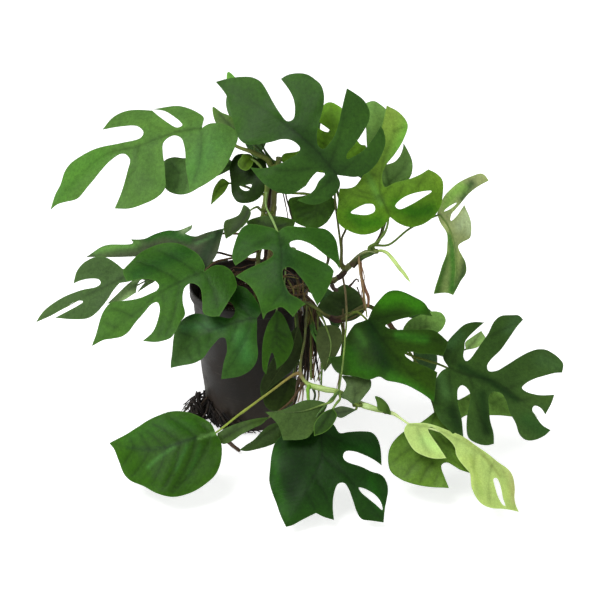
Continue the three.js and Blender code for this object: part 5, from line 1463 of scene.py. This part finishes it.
LEAVES["leaf_36"] = dict(
    green="#203c07", stalk="#6f8a40",
    toward=140, faces=[0, 45], on="vine_e",
    midrib=[333, 408, 325, 420, 314, 436],
    outline=[[333, 408, 337, 415, 334, 423, 328, 430, 321, 434], [314, 436, 314, 424, 318, 417, 325, 411]],
    petiole=[[342, 393, 101], [340, 399, 122], [336, 404, 136]],
)
LEAVES["leaf_37"] = dict(
    green="#384f22",
    toward=42, faces=[0, 40], on="vine_d",
    midrib=[342, 320, 343, 304, 345, 284],
    outline=[[345, 284, 360, 294, 366, 308, 356, 319, 342, 322, 326, 318, 317, 308, 329, 295]],
    petiole=[[333, 319, 62], [337, 322, 50]],
)
LEAVES["leaf_38"] = dict(
    green="#aad57a",
    toward=36, faces=[35, 45], on="vine_d",
    midrib=[467, 349, 474, 342, 481, 331],
    outline=[[466, 350, 465, 343, 472, 337], [481, 331, 485, 340, 478, 347]],
    petiole=[[395, 333, 51], [425, 350, 46], [452, 352, 38]],
)
LEAVES["leaf_39"] = dict(
    green="#374322", back_seen=True, under="#414f28",
    toward=86, faces=[0, 35], on="vine_d",
    midrib=[326, 327, 331, 345, 325, 371],
    outline=[
        [319, 327, 331, 325, 340, 329, 342, 341, 338, 352, 332, 362],
        [324.5, 372, 321, 362, 317, 350, 316, 338],
    ],
    petiole=[[320, 312, 56], [323, 319, 74]],
)
LEAVES["leaf_40"] = dict(
    green="#273711",
    toward=62, faces=[0, 20], on="soil",
    midrib=[288, 381, 284, 395, 276, 410],
    outline=[
        [266, 386, 277, 381, 290, 377, 298, 381, 299, 392, 293, 402, 284, 408, 274, 411, 266, 407, 263, 397],
    ],
    petiole=[
        at(31, -35, 100), at(34, -37, 136), at(44, -44, 153), [296, 325, 57], [299, 352, 57],
        [294, 372, 56],
    ],
)
LEAVES["leaf_41"] = dict(
    green="#415234",
    toward=114, faces=[0, 40], on="vine_e",
    midrib=[357, 409, 347, 411, 335, 414],
    outline=[[333, 409, 341, 406.5, 350, 407.5], [357, 409.5, 350, 413.5, 341, 418, 335, 415]],
    petiole=[[356, 402, 105], [356.5, 406, 109]],
)
LEAVES["leaf_42"] = dict(
    green="#3f5a0d", under="#394d1f", stalk="#5c7434",
    toward=66, faces=[10, 40], on="stem_b",
    midrib=[251, 158, 246, 163, 242, 170],
    outline=[
        [250, 153.5, 253, 157, 253.3, 162, 251, 167, 247, 170.7, 242, 169.7, 238, 165.5, 238.3, 160.5,
         241, 157, 243, 153.5],
    ],
    petiole=[[268, 178, 72], [262, 169, 78], [255, 161, 72]],
)
# Leaves of the far side, each grown like a near one.
FAR_LEAVES = {
    "leaf_back_1": dict(
        model="leaf_13", base=[311, 153], turned=-135, size=0.6, toward=8, faces=[165, 5], on="stem_a",
        petiole=[[281, 170, 66], [294, 163, 46], [304, 158, 24]],
    ),
    "leaf_back_2": dict(
        model="leaf_02", base=[255, 158], turned=90, size=1, toward=0, faces=[185, -16], on="stem_a",
        petiole=[[283, 166, 64], [274, 161, 44], [262, 158, 16]],
    ),
    "leaf_back_3": dict(
        model="leaf_21", base=[373, 185], turned=120, size=0.8, toward=8, faces=[165, -16], on="vine_c",
        petiole=[[363, 253, 60], [372, 248, 38], [382, 229, 26], [379, 210, 16]],
    ),
    "leaf_back_4": dict(
        model="leaf_21", base=[437, 332], turned=0, size=0.8, toward=4, faces=[185, 2], on="vine_d",
        petiole=[[401, 343, 56], [408, 345, 34], [428, 342, 10]],
    ),
    "leaf_back_5": dict(
        model="leaf_24", base=[253, 277], turned=75, size=1, toward=-58, faces=[180, 0], on="soil",
        petiole=[at(24, 14, 100), at(27, 30, 138), at(30, 55, 153), at(18, 67, 146)],
    ),
    "leaf_back_6": dict(
        model="leaf_13", base=[300, 277], turned=30, size=0.95, toward=-74, faces=[180, -4], on="soil",
        petiole=[at(33, 12, 100), at(36, 28, 138), at(38, 54, 153), at(46, 74, 148)],
    ),
}


def pairs(numbers):
    return np.array(numbers, float).reshape(-1, 2)


def grown_like(model, base, turned, size, **rest):
    """A leaf of the far side: the shape of a near one, turned about its base, sized and moved."""
    shape = LEAVES[model]
    centre = pairs(shape["midrib"])[0]
    spin = math.radians(turned)
    turn = np.array([[math.cos(spin), math.sin(spin)], [-math.sin(spin), math.cos(spin)]])

    def moved(numbers):
        return ((pairs(numbers) - centre) @ turn * size + base).ravel().tolist()

    return {
        **shape, "outline": [moved(run) for run in shape["outline"]], "midrib": moved(shape["midrib"]),
        "holes": [moved(hole) for hole in shape.get("holes", [])], **rest,
    }


LEAVES.update({name: grown_like(**leaf) for name, leaf in FAR_LEAVES.items()})

BLADE_THICKNESS = 0.55
BLADE_EDGE_BEVEL = 1.5
EDGE_STEP = 1.7
GRID_STEP = 2.3
RIB_STEP = 1.5
FOLD = -0.12
FOLD_ROUNDING = 3
ARCH = 0.05
WAVE_HEIGHT = 1.4
WAVE_REACH = 30
SWELL_HEIGHT = 1.1
FRILL_HEIGHT = 0.9
DROOP = 0.0006
CREASE_DEPTH = 0.9
CREASE_WIDTH = 2.0
VEIN_DEPTH = 0.8
VEIN_WIDTH = 4.0
VEIN_ANGLE = 52
VEIN_FREE_ENDS = 12
FEW_VEINS = 4
EVEN_VEINS = 6
VEIN_REACH = 75
EDGE_BAND = 7
RIB_BAND = 6
TIP_SHARE = 1.3
STALK_RADIUS = 1.05
STALK_FOOT = 1.05
STALK_THINNING = 0.8
STALK_UNDER_BLADE = 0.02
SHEATH_SWELL = 0.9
SHEATH_LENGTH = 5
SEAT_DEPTH = 0.8
SEAT_RISE = 2.8
KNEE_SWELL = 0.25
KNEE_PLACE = 5
KNEE_LENGTH = 4
# How far along the midrib the stalk's points lie under the blade.
STALK_STOPS = np.array([0.04, 0.12, 0.22, 0.32, 0.42, 0.52, 0.62, 0.72, 0.82, 0.92])
# A blade stores, as a colour, how far each point is along it and aside, how far from its edge, and whether
# it is on the underside. These are the mm that stand for 1, and what a stalk stores instead.
MARK_LENGTH = 100
MARK_EDGE = 20
STALK_MARKS = [0.0, 0.5, 1.0, 0.35]
FINE_VEIN_GAP = 6.0
FINE_VEIN_STRENGTH = 0.06


def edge_of(runs, step):
    """Even points round an outline made of smooth runs."""
    if len(runs) == 1:
        return spaced(through(pairs(runs[0]), closed=True), step)[:-1]
    around = []
    for run, following in zip(runs, runs[1:] + runs[:1]):
        around.append(spaced(through(np.vstack([pairs(run), following[:2]])), step)[:-1])
    return np.concatenate(around)


def inside(points, rings):
    """Whether each point is on the blade, between its outline and its holes."""
    crossings = np.zeros(len(points), int)
    x, y = points[:, :1], points[:, 1:]
    for ring in rings:
        ax, ay = ring.T
        bx, by = np.roll(ring, -1, axis=0).T
        with np.errstate(divide="ignore", invalid="ignore"):
            meets = (bx - ax) * (y - ay) / (by - ay) + ax
        crossings += (((ay > y) != (by > y)) & (x < meets)).sum(axis=1)
    return crossings % 2 == 1


def distance_to(points, line, closed=False):
    """How far each point is from the nearest side of a line of points."""
    starts = line if closed else line[:-1]
    ends = np.roll(line, -1, axis=0) if closed else line[1:]
    least = np.full(len(points), np.inf)
    for start, end in zip(starts, ends):
        along = end - start
        share = np.clip((points - start) @ along / max(along @ along, 1e-9), 0, 1)
        least = np.minimum(least, np.hypot(*(points - start - share[:, None] * along).T))
    return least


def along_midrib(leaf, points):
    """How far points lie along the midrib, from 0 at its base to 1 at its tip, how far aside of it in mm,
    and the midrib's length in mm."""
    ribs = pairs(leaf["midrib"])
    chord = ribs[-1] - ribs[0]
    length = np.linalg.norm(chord)
    heading = chord / length
    to_chord = np.array([heading, [-heading[1], heading[0]]]).T
    local = (ribs - ribs[0]) @ to_chord
    off = (points - ribs[0]) @ to_chord
    bent = np.interp(off[:, 0], local[:, 0], local[:, 1])
    return off[:, 0] / length, off[:, 1] - bent, length


def out_of_window(leaf, points):
    """How far the blade's middle stands out of the window: a plane, folded, arched and waved."""
    right, lift = (math.radians(angle) for angle in leaf["faces"])
    normal = np.array([
        math.sin(right) * math.cos(lift), -math.cos(right) * math.cos(lift), math.sin(lift),
    ])
    out = normal @ TOWARD
    along, aside, length = along_midrib(leaf, points)
    base = pairs(leaf["midrib"])[0]
    toward = leaf["toward"] - normal[0] / out * (points[:, 0] - base[0])
    toward += normal @ UP_WINDOW / out * (points[:, 1] - base[1])
    toward += leaf.get("fold", FOLD) * (np.hypot(aside, FOLD_ROUNDING) - FOLD_ROUNDING)
    toward += 4 * leaf.get("arch", ARCH) * length * along * (1 - along)
    return toward + WAVE_HEIGHT * np.sin(along * 9 + base[0]) * np.minimum(1, np.abs(aside) / WAVE_REACH)


def on_leaf(leaf, points):
    """World places of points of the blade's middle."""
    return seen(points[:, 0], points[:, 1], out_of_window(leaf, points))


def leaf_normal(leaf, points):
    """The blade's direction towards the eye at each point."""
    across = on_leaf(leaf, points + [0.5, 0]) - on_leaf(leaf, points - [0.5, 0])
    down = on_leaf(leaf, points + [0, 0.5]) - on_leaf(leaf, points - [0, 0.5])
    normal = np.cross(down, across)
    return normal / np.linalg.norm(normal, axis=1, keepdims=True)


def leaf_seed(leaf):
    """A number of the leaf's own, so that no two leaves swell alike."""
    return leaf["midrib"][0] * 0.37


def undulation(leaf, points):
    """How far the blade's soft swells lift it, in mm."""
    seed = leaf_seed(leaf)
    return SWELL_HEIGHT * np.sin(points[:, 0] / 10 + seed) * np.cos(points[:, 1] / 12 + 1.7 * seed)


def fading(along):
    """How much of the midrib's crease is left at a share of the blade's length."""
    return np.clip(1.15 - along, 0.25, 1)


def even_veins(midrib, along_line, rings):
    """Veins at even places on both sides of the midrib, curved towards the tip, each as far as the edge."""
    veins = []
    reach = np.linspace(0, 1, 30)[:, None] * VEIN_REACH
    for side in (-1, 1):
        for share in np.linspace(0.06, 0.78, EVEN_VEINS):
            start = int(share * (len(midrib) - 1))
            heading = along_line[start]
            aside = side * np.array([-heading[1], heading[0]])
            line = midrib[start] + aside * reach * 0.85 + heading * (reach * 0.35 + reach ** 2 / 130)
            on_blade = inside(line, rings)
            stop = len(line) if on_blade[1:].all() else 1 + int(np.argmin(on_blade[1:]))
            if stop > 6:
                veins.append(line[:stop - 1])
    return veins


def side_veins(leaf, midrib, rings):
    """A vein from the midrib towards each corner of the outline, leaving it at about 50 degrees, or even
    ones on both sides where the outline is whole."""
    along_line = np.gradient(midrib, axis=0)
    along_line /= np.linalg.norm(along_line, axis=1, keepdims=True)
    corners = [np.array(run[:2], float) for run in leaf["outline"]]
    ends = [midrib[0], midrib[-1]]
    tips = [tip for tip in corners if min(np.linalg.norm(tip - end) for end in ends) > VEIN_FREE_ENDS]
    veins = []
    for tip in tips:
        away = tip - midrib
        away /= np.linalg.norm(away, axis=1, keepdims=True)
        angle = np.degrees(np.arccos(np.clip((away * along_line).sum(axis=1), -1, 1)))
        start = int(np.argmin(np.abs(angle[:int(len(midrib) * 0.9)] - VEIN_ANGLE)))
        bow = along_line[start] * 0.06 * np.linalg.norm(tip - midrib[start])
        veins.append(through([midrib[start], midrib[start] * 0.5 + tip * 0.5 - bow, tip], per_span=10))
    if len(tips) < FEW_VEINS:
        veins += even_veins(midrib, along_line, rings)
    return veins


def filled(rings, lines, spacing):
    """Triangles that fill the outline around its holes, with points along the veins and a grid between."""
    joins = []
    start = 0
    for ring in rings:
        ids = np.arange(len(ring)) + start
        joins += np.stack([ids, np.roll(ids, -1)], axis=1).tolist()
        start += len(ring)

    def off_edges(candidates, margin):
        kept = candidates[inside(candidates, rings)]
        for ring in rings:
            kept = kept[distance_to(kept, ring, closed=True) > margin]
        return kept

    def off_taken(candidates, taken):
        if not len(taken) or not len(candidates):
            return candidates
        gaps = np.linalg.norm(candidates[:, None] - taken[None], axis=2).min(axis=1)
        return candidates[gaps > 0.6 * spacing]

    taken = np.empty((0, 2))
    for line in lines:
        kept = off_edges(spaced(line, spacing * 0.8), 0.4 * spacing)
        taken = np.vstack([taken, off_taken(kept, taken)])
    low, high = rings[0].min(axis=0), rings[0].max(axis=0)
    grid = []
    for i, row in enumerate(np.arange(low[1], high[1], spacing * math.sqrt(0.75))):
        columns = np.arange(low[0] + (i % 2) * spacing / 2, high[0], spacing)
        grid.append(np.column_stack([columns, np.full(len(columns), row)]))
    grid = off_taken(off_edges(np.concatenate(grid), 0.5 * spacing), taken)
    flat = [Vector(place) for place in np.vstack([*rings, taken, grid])]
    places, _, faces, _, _, _ = delaunay_2d_cdt(flat, joins, [], 1, 1e-5)
    places, faces = np.array([tuple(place) for place in places]), np.array([tuple(face) for face in faces])
    return places, faces[inside(places[faces].mean(axis=1), rings)]


def closed_blade(faces, count):
    """Faces of a blade whose points are a front layer of so many and one behind it, joined at the edge."""
    sides = {}
    for a, b, c in faces:
        for side in ((a, b), (b, c), (c, a)):
            sides[side] = True
    corners = [[a, c, b] for a, b, c in faces] + [[count + a, count + b, count + c] for a, b, c in faces]
    for a, b in sides:
        if (b, a) not in sides:
            corners += [[a, b, count + b], [a, count + b, count + a]]
    return corners


def blade_colours(leaf, points, along, quilt_shading, upper):
    """The colours of the blade's upper side and of its underside at each point, with patches and painted
    bands of light and shade beside the veins.
    """
    green, tip = np.array(linear(leaf["green"])), np.array(linear(leaf.get("tip", leaf["green"])))
    share = np.clip(along, 0, 1)[:, None] ** TIP_SHARE
    top = green * (1 - share) + tip * share
    grey = np.array(linear(leaf.get("under", "#4c6b40")))
    low = top * 0.45 + grey * 0.55
    # The patches paint shade, sheen and highlights on most leaves, and the leaf's own tone on a few.
    for line, reach, hue in leaf.get("patches", []):
        blend = np.exp(-(distance_to(points, pairs(line)) / reach) ** 2)[:, None]
        top = top * (1 - blend) + np.array(linear(hue)) * blend
        blend *= 0.9 if upper < 0 else 0.4
        low = low * (1 - blend) + np.array(linear(hue)) * blend
    return top * (1 - 0.1 * quilt_shading[:, None]), low


def leaf_shells(leaf):
    """The blade and its stalk, as two closed shells with stored colours."""
    rings = [edge_of(leaf["outline"], EDGE_STEP)]
    rings += [edge_of([hole], EDGE_STEP) for hole in leaf.get("holes", [])]
    midrib = spaced(through(pairs(leaf["midrib"])), RIB_STEP)
    veins = side_veins(leaf, midrib, rings)
    points, faces = filled(rings, [midrib] + veins, GRID_STEP)
    count = len(points)
    to_edge = np.min([distance_to(points, ring, closed=True) for ring in rings], axis=0)
    to_midrib = distance_to(points, midrib)
    to_vein = np.min([distance_to(points, vein) for vein in veins], axis=0) if veins else to_midrib
    along, aside, length = along_midrib(leaf, points)
    upper = -1 if leaf.get("back_seen") or abs(leaf["faces"][0]) > 90 else 1
    inner = np.clip(to_edge / EDGE_BAND, 0, 1)
    clear = np.clip(to_midrib / RIB_BAND, 0, 1)
    frill = np.sin((points[:, 0] + 1.7 * points[:, 1]) / 9 + leaf_seed(leaf))
    relief = -CREASE_DEPTH * np.exp(-to_midrib / CREASE_WIDTH) * fading(along)
    relief -= VEIN_DEPTH * np.exp(-to_vein / VEIN_WIDTH) * inner * clear
    relief += undulation(leaf, points)
    relief += FRILL_HEIGHT * (1 - inner) * clear * frill
    relief -= DROOP * aside ** 2
    normal = leaf_normal(leaf, points)
    middle = on_leaf(leaf, points) + normal * (upper * relief)[:, None]
    half = BLADE_THICKNESS / 2 * np.clip(0.35 + to_edge / BLADE_EDGE_BEVEL, 0, 1)
    half += 0.15 * np.exp(-to_midrib / 1.5)
    layers = np.vstack([middle + normal * half[:, None], middle - normal * half[:, None]])
    # Painted light and shade: bands lighter and darker beside the veins stand in for the light on the blade's
    # quilting.
    quilt_shading = np.cos(to_vein * 0.45) * np.exp(-to_vein / 12) * inner
    top, low = blade_colours(leaf, points, along, quilt_shading, upper)
    # The crease value is painted shade, stored for the material: it darkens the upper side along the midrib
    # and the side veins.
    crease_shade = np.exp(-to_midrib / 1.1) * np.clip(1.1 - along, 0.3, 1) + 0.55 * np.exp(-to_vein / 1.0) * inner
    grain = np.column_stack([np.tile(np.clip(crease_shade, 0, 1), 2), np.zeros(2 * count), np.zeros(2 * count)])
    marks = np.column_stack([
        np.tile(along * length / MARK_LENGTH, 2), np.tile(aside / MARK_LENGTH + 0.5, 2),
        np.tile(np.clip(to_edge / MARK_EDGE, 0, 1), 2),
        np.repeat([0.0, 1.0] if upper > 0 else [1.0, 0.0], count),
    ])
    shade = np.vstack([top, low] if upper > 0 else [low, top])
    blade = shell(layers, closed_blade(faces, count), shade=shade, grain=grain, blade=marks)
    return [blade, stalk_shell(leaf, upper)]


def seated(points, stem_name):
    """Starts a stalk at the surface of the stem that carries it, or at that stem's end."""
    line = stem_lines[stem_name]
    nearest = int(np.argmin(np.linalg.norm(line - points[0], axis=1)))
    axis = line[nearest]
    tangent = np.gradient(line, axis=0)[nearest]
    tangent /= np.linalg.norm(tangent)
    heading = points[1] - axis
    if nearest == len(line) - 1 and heading @ tangent > 0.7 * np.linalg.norm(heading):
        return np.vstack([axis - tangent, axis + 3 * tangent, points[1:]])
    outward = heading - tangent * (heading @ tangent)
    outward /= np.linalg.norm(outward)
    radius = STEMS[stem_name]["radius"]
    foot, clear = (axis + outward * (radius + rise) for rise in (-SEAT_DEPTH, SEAT_RISE))
    return np.vstack([foot, clear, points[1:]])


def stalk_shell(leaf, upper):
    """The leaf's stalk, from its sheath on the stem to the tip of the midrib that it becomes."""
    from_soil = leaf["on"] == "soil"
    points = route(leaf["petiole"])
    if not from_soil:
        points = seated(points, leaf["on"])
    ribs = through(pairs(leaf["midrib"]), per_span=30)
    places = ribs[(STALK_STOPS * (len(ribs) - 1)).astype(int)]
    depth = STALK_RADIUS * STALK_FOOT * (1 - STALK_THINNING * STALK_STOPS) + STALK_UNDER_BLADE
    depth += CREASE_DEPTH * fading(STALK_STOPS)
    depth += DROOP * along_midrib(leaf, places)[1] ** 2 - undulation(leaf, places)
    under = on_leaf(leaf, places) - leaf_normal(leaf, places) * (upper * depth)[:, None]
    stalk_length = np.linalg.norm(np.diff(points, axis=0), axis=1).sum()

    def radius_at(along, length):
        sheath = 0.0 * along if from_soil else SHEATH_SWELL * np.exp(-along / SHEATH_LENGTH)
        sheath += (leaf.get("stalk_size", 1) - 1) * np.clip(1.4 - 1.4 * along / stalk_length, 0, 1)
        knee = KNEE_SWELL * np.exp(-((along - stalk_length + KNEE_PLACE) / KNEE_LENGTH) ** 2)
        past = np.clip((along - stalk_length) / max(length - stalk_length, 1), 0, 1)
        return STALK_RADIUS * (STALK_FOOT + sheath + knee) * (1 - STALK_THINNING * past)

    stalk = leaf.get("stalk", "#5f7230")
    codes = [stalk, stalk] if isinstance(stalk, str) else list(stalk)
    codes += [leaf.get("rib", "#6f8a48")] * 2
    made = swept(np.vstack([points, under]), radius_at, 8, 2.2, graded(codes), 0.03)
    count = len(made["points"])
    made["grain"] = np.zeros((count, 3))
    made["blade"] = np.tile(STALK_MARKS, (count, 1))
    return made


def leaf_group():
    """A leaf's skin: fine side veins and cells over the stored colour, painted shade in its creases, a paler
    rim.
    """
    inputs = {
        "Rim": ("Color", (0.3, 0.4, 0.1, 1)),
        "Crease Shade": ("Float", 0.45),
        "Patchiness": ("Float", 0.28),
        "Mottle": ("Float", 1.0),
    }
    outputs = {"Color": "Color", "Under": "Float", "Height": "Float", "Sheen Spots": "Float"}
    tree, wires, given = new_group("leaf_skin", inputs, outputs)
    marks = wires.stored("blade", "Color")
    parts = wires.add("ShaderNodeSeparateColor", {0: marks}).outputs
    along = wires.product(parts["Red"], MARK_LENGTH)
    aside = wires.maths("ABSOLUTE", wires.product(wires.less(parts["Green"], 0.5), MARK_LENGTH))
    to_edge = wires.product(parts["Blue"], MARK_EDGE)
    under = wires.stored("blade", "Alpha")
    place = wires.place()
    blotch = wires.clouds(place, 22.0, 4.0, 0.6)
    fine = wires.clouds(place, 300.0, 3.0, 0.6)

    swept_back = wires.total(wires.product(aside, 0.55), wires.product(aside, aside, 0.006))
    wander = wires.product(wires.clouds(place, 38.0, 4.0, 0.6), 22.0)
    course = wires.total(wires.less(along, swept_back), wander)
    cycle = wires.maths("FRACT", wires.maths("DIVIDE", course, FINE_VEIN_GAP))
    from_vein = wires.maths("ABSOLUTE", wires.less(cycle, 0.5))
    shown = wires.ranged(wires.clouds(place, 55.0, 2.0), 0.42, 0.62)
    vein = wires.product(wires.ranged(from_vein, 0.34, 0.5), shown)
    swell = wires.ranged(from_vein, 0.0, 0.5)
    cells = wires.add(
        "ShaderNodeTexVoronoi", {"Vector": place, "Scale": 620.0}, feature="DISTANCE_TO_EDGE"
    ).outputs["Distance"]
    cell = wires.ranged(cells, 0.0, 0.12)
    crease_shade = wires.add("ShaderNodeSeparateXYZ", {0: wires.stored("grain")}).outputs["X"]

    uneven = wires.total(1.0, wires.product(wires.less(blotch, 0.5), wires.product(given["Patchiness"], 3.0)))
    mottle = wires.product(wires.ranged(fine, 0.2, 0.8, -0.26, 0.26, smooth=False), given["Mottle"])
    dots = wires.ranged(wires.clouds(place, 900.0, 2.0), 0.2, 0.8, 0.84, 1.16, smooth=False)
    light = wires.product(uneven, wires.total(mottle, 1.0), dots)
    light = wires.product(light, wires.ranged(to_edge, 0.0, 16.0, 1.1, 0.95))
    light = wires.product(light, wires.ranged(cell, 0.0, 1.0, 0.95, 1.0))
    light = wires.product(light, wires.less(1.0, wires.product(vein, FINE_VEIN_STRENGTH)))
    # Painted shade: the upper side is darkened along the midrib and the side veins, where their creases lie
    # in shade.
    dark = wires.product(crease_shade, wires.product(given["Crease Shade"], wires.less(1.0, under)))
    light = wires.product(light, wires.less(1.0, dark))
    colour = wires.shaded(wires.stored("shade", "Color"), light)
    warm = wires.ranged(blotch, 0.45, 0.75, 0.0, 0.25)
    yellowed = wires.blended(warm, colour, wires.blended(1.0, colour, (1.35, 1.12, 0.6, 1), "MULTIPLY"))
    rim = wires.ranged(to_edge, 0.15, 1.3, 0.3, 0.0)
    colour = wires.blended(rim, yellowed, given["Rim"])

    ripples = wires.product(wires.clouds(place, 70.0, 2.0), 2.6)
    height = wires.total(
        wires.product(vein, -0.5), wires.product(swell, -0.15), ripples, wires.product(cell, 0.15),
        wires.product(fine, 0.3),
    )
    height = wires.product(height, wires.less(1.0, wires.product(under, 2.0)))
    wires.add("NodeGroupOutput", {"Color": colour, "Under": under, "Height": height, "Sheen Spots": blotch})
    return tree


LEAF_SKIN = leaf_group()


def leaf_material(name, rim, crease_shade, satin, patchiness=0.28, mottle=1.0):
    """A leaf's material: the skin group, satin above and dull below."""
    material, wires, shader = new_material(name, satin, Specular_IOR_Level=0.1)
    values = {"Rim": paint(rim), "Crease Shade": crease_shade, "Patchiness": patchiness, "Mottle": mottle}
    skin = wires.add("ShaderNodeGroup", values, node_tree=LEAF_SKIN).outputs
    join(wires, skin["Color"], shader, "Base Color")
    worn = wires.ranged(skin["Sheen Spots"], 0.3, 0.7, satin - 0.05, satin + 0.07)
    join(wires, wires.total(worn, wires.product(skin["Under"], 0.22)), shader, "Roughness")
    raised(wires, shader, skin["Height"], 0.00022, 0.6)
    return material


# Each finish: its rim colour, how far painted shade darkens its creases, and its roughness, with less
# patchiness and mottle on the pale one.
FINISHES = {
    "leaf_dark": leaf_material("leaf_dark_skin", "#3f6428", 0.4, 0.46),
    "leaf_middle": leaf_material("leaf_middle_skin", "#527a30", 0.42, 0.48),
    "leaf_bright": leaf_material("leaf_bright_skin", "#6c9a36", 0.42, 0.48),
    "leaf_pale": leaf_material("leaf_pale_skin", "#cfe69a", 0.3, 0.5, 0.1, 0.4),
}

slots = {row["node"]: row["material_slot"] for row in frame["record"]["subparts"]}
for name, leaf in LEAVES.items():
    piece(name + "_blade", leaf_shells(leaf), FINISHES[slots[name]], name, crease_angle=38)

# ---- Shoot ----
# The next leaf, still rolled up tight, at the end of the vine on the right.
SHOOT_RADIUS = 1.5
SHOOT_POINT = 6
SHOOT = [[379, 252, 62], [387, 253, 64], [398, 266, 68], [411, 283, 72]]


def rolled_radius(along, length):
    """The rolled leaf's radius: widest in the middle, and drawn to a point at its tip."""
    belly = 0.8 + 0.5 * np.sin(math.pi * along / length)
    return SHOOT_RADIUS * belly * np.clip((length - along) / SHOOT_POINT, 0.15, 1)


shoot_shades = graded(["#9fbb5c", "#c3dc86", "#b5d272"])
rolled = swept(seated(route(SHOOT), "vine_c"), rolled_radius, 10, 1.5, shoot_shades, 0.12)
shoot_skin = bark_material("shoot_skin", "#9dc060", 0.3, 0.45, streak=0.12, depth=0.0002)
piece("shoot_rolled", [rolled], shoot_skin, "shoot")

# ---- Floor and light ----
# A pale floor, a bright even sky, and three wide soft lamps: above the plant, beside the eye and to the left.
FLOOR_SIZE = 9
FLOOR_DROP = 0.0005
FLOOR_GREY = 0.86
FLOOR_GLOW = 0.62
FLOOR_GLOW_UNSEEN = 0.1
SKY_STRENGTH = 0.42
LAMP_AIM = Vector((0.05, 0, 0.15))
LAMPS = {
    "lamp_above": dict(place=(-0.75, -0.75, 1.9), energy=34, size=1.1),
    "lamp_front": dict(place=(0.9, -1.6, 0.9), energy=7, size=1.2),
    "lamp_left": dict(place=(-1.7, 0.3, 0.5), energy=9, size=0.9),
}


def grey(value):
    return (value, value, value, 1)


bpy.ops.mesh.primitive_plane_add(size=FLOOR_SIZE, location=(0, 0, -FLOOR_DROP))
floor = bpy.context.object
floor.name = "floor"
floor_material, floor_wires, floor_shader = new_material("floor_white", 0.9, Base_Color=grey(FLOOR_GREY))
floor_shader.inputs["Emission Strength"].default_value = 1
seen_by_eye = floor_wires.add("ShaderNodeLightPath").outputs["Is Camera Ray"]
glow = floor_wires.blended(seen_by_eye, grey(FLOOR_GLOW_UNSEEN), grey(FLOOR_GLOW))
join(floor_wires, glow, floor_shader, "Emission Color")
floor.data.materials.append(floor_material)

world = bpy.data.worlds.new("studio")
world.use_nodes = True
world.node_tree.nodes["Background"].inputs["Color"].default_value = (1, 1, 1, 1)
world.node_tree.nodes["Background"].inputs["Strength"].default_value = SKY_STRENGTH
bpy.context.scene.world = world
for name, lamp in LAMPS.items():
    aim = LAMP_AIM - Vector(lamp["place"])
    turn = aim.to_track_quat("-Z", "Y").to_euler()
    bpy.ops.object.light_add(type="AREA", location=lamp["place"], rotation=turn)
    light = bpy.context.object
    light.name = name
    light.data.energy = lamp["energy"]
    light.data.size = lamp["size"]
bpy.context.scene.view_settings.view_transform = "Standard"
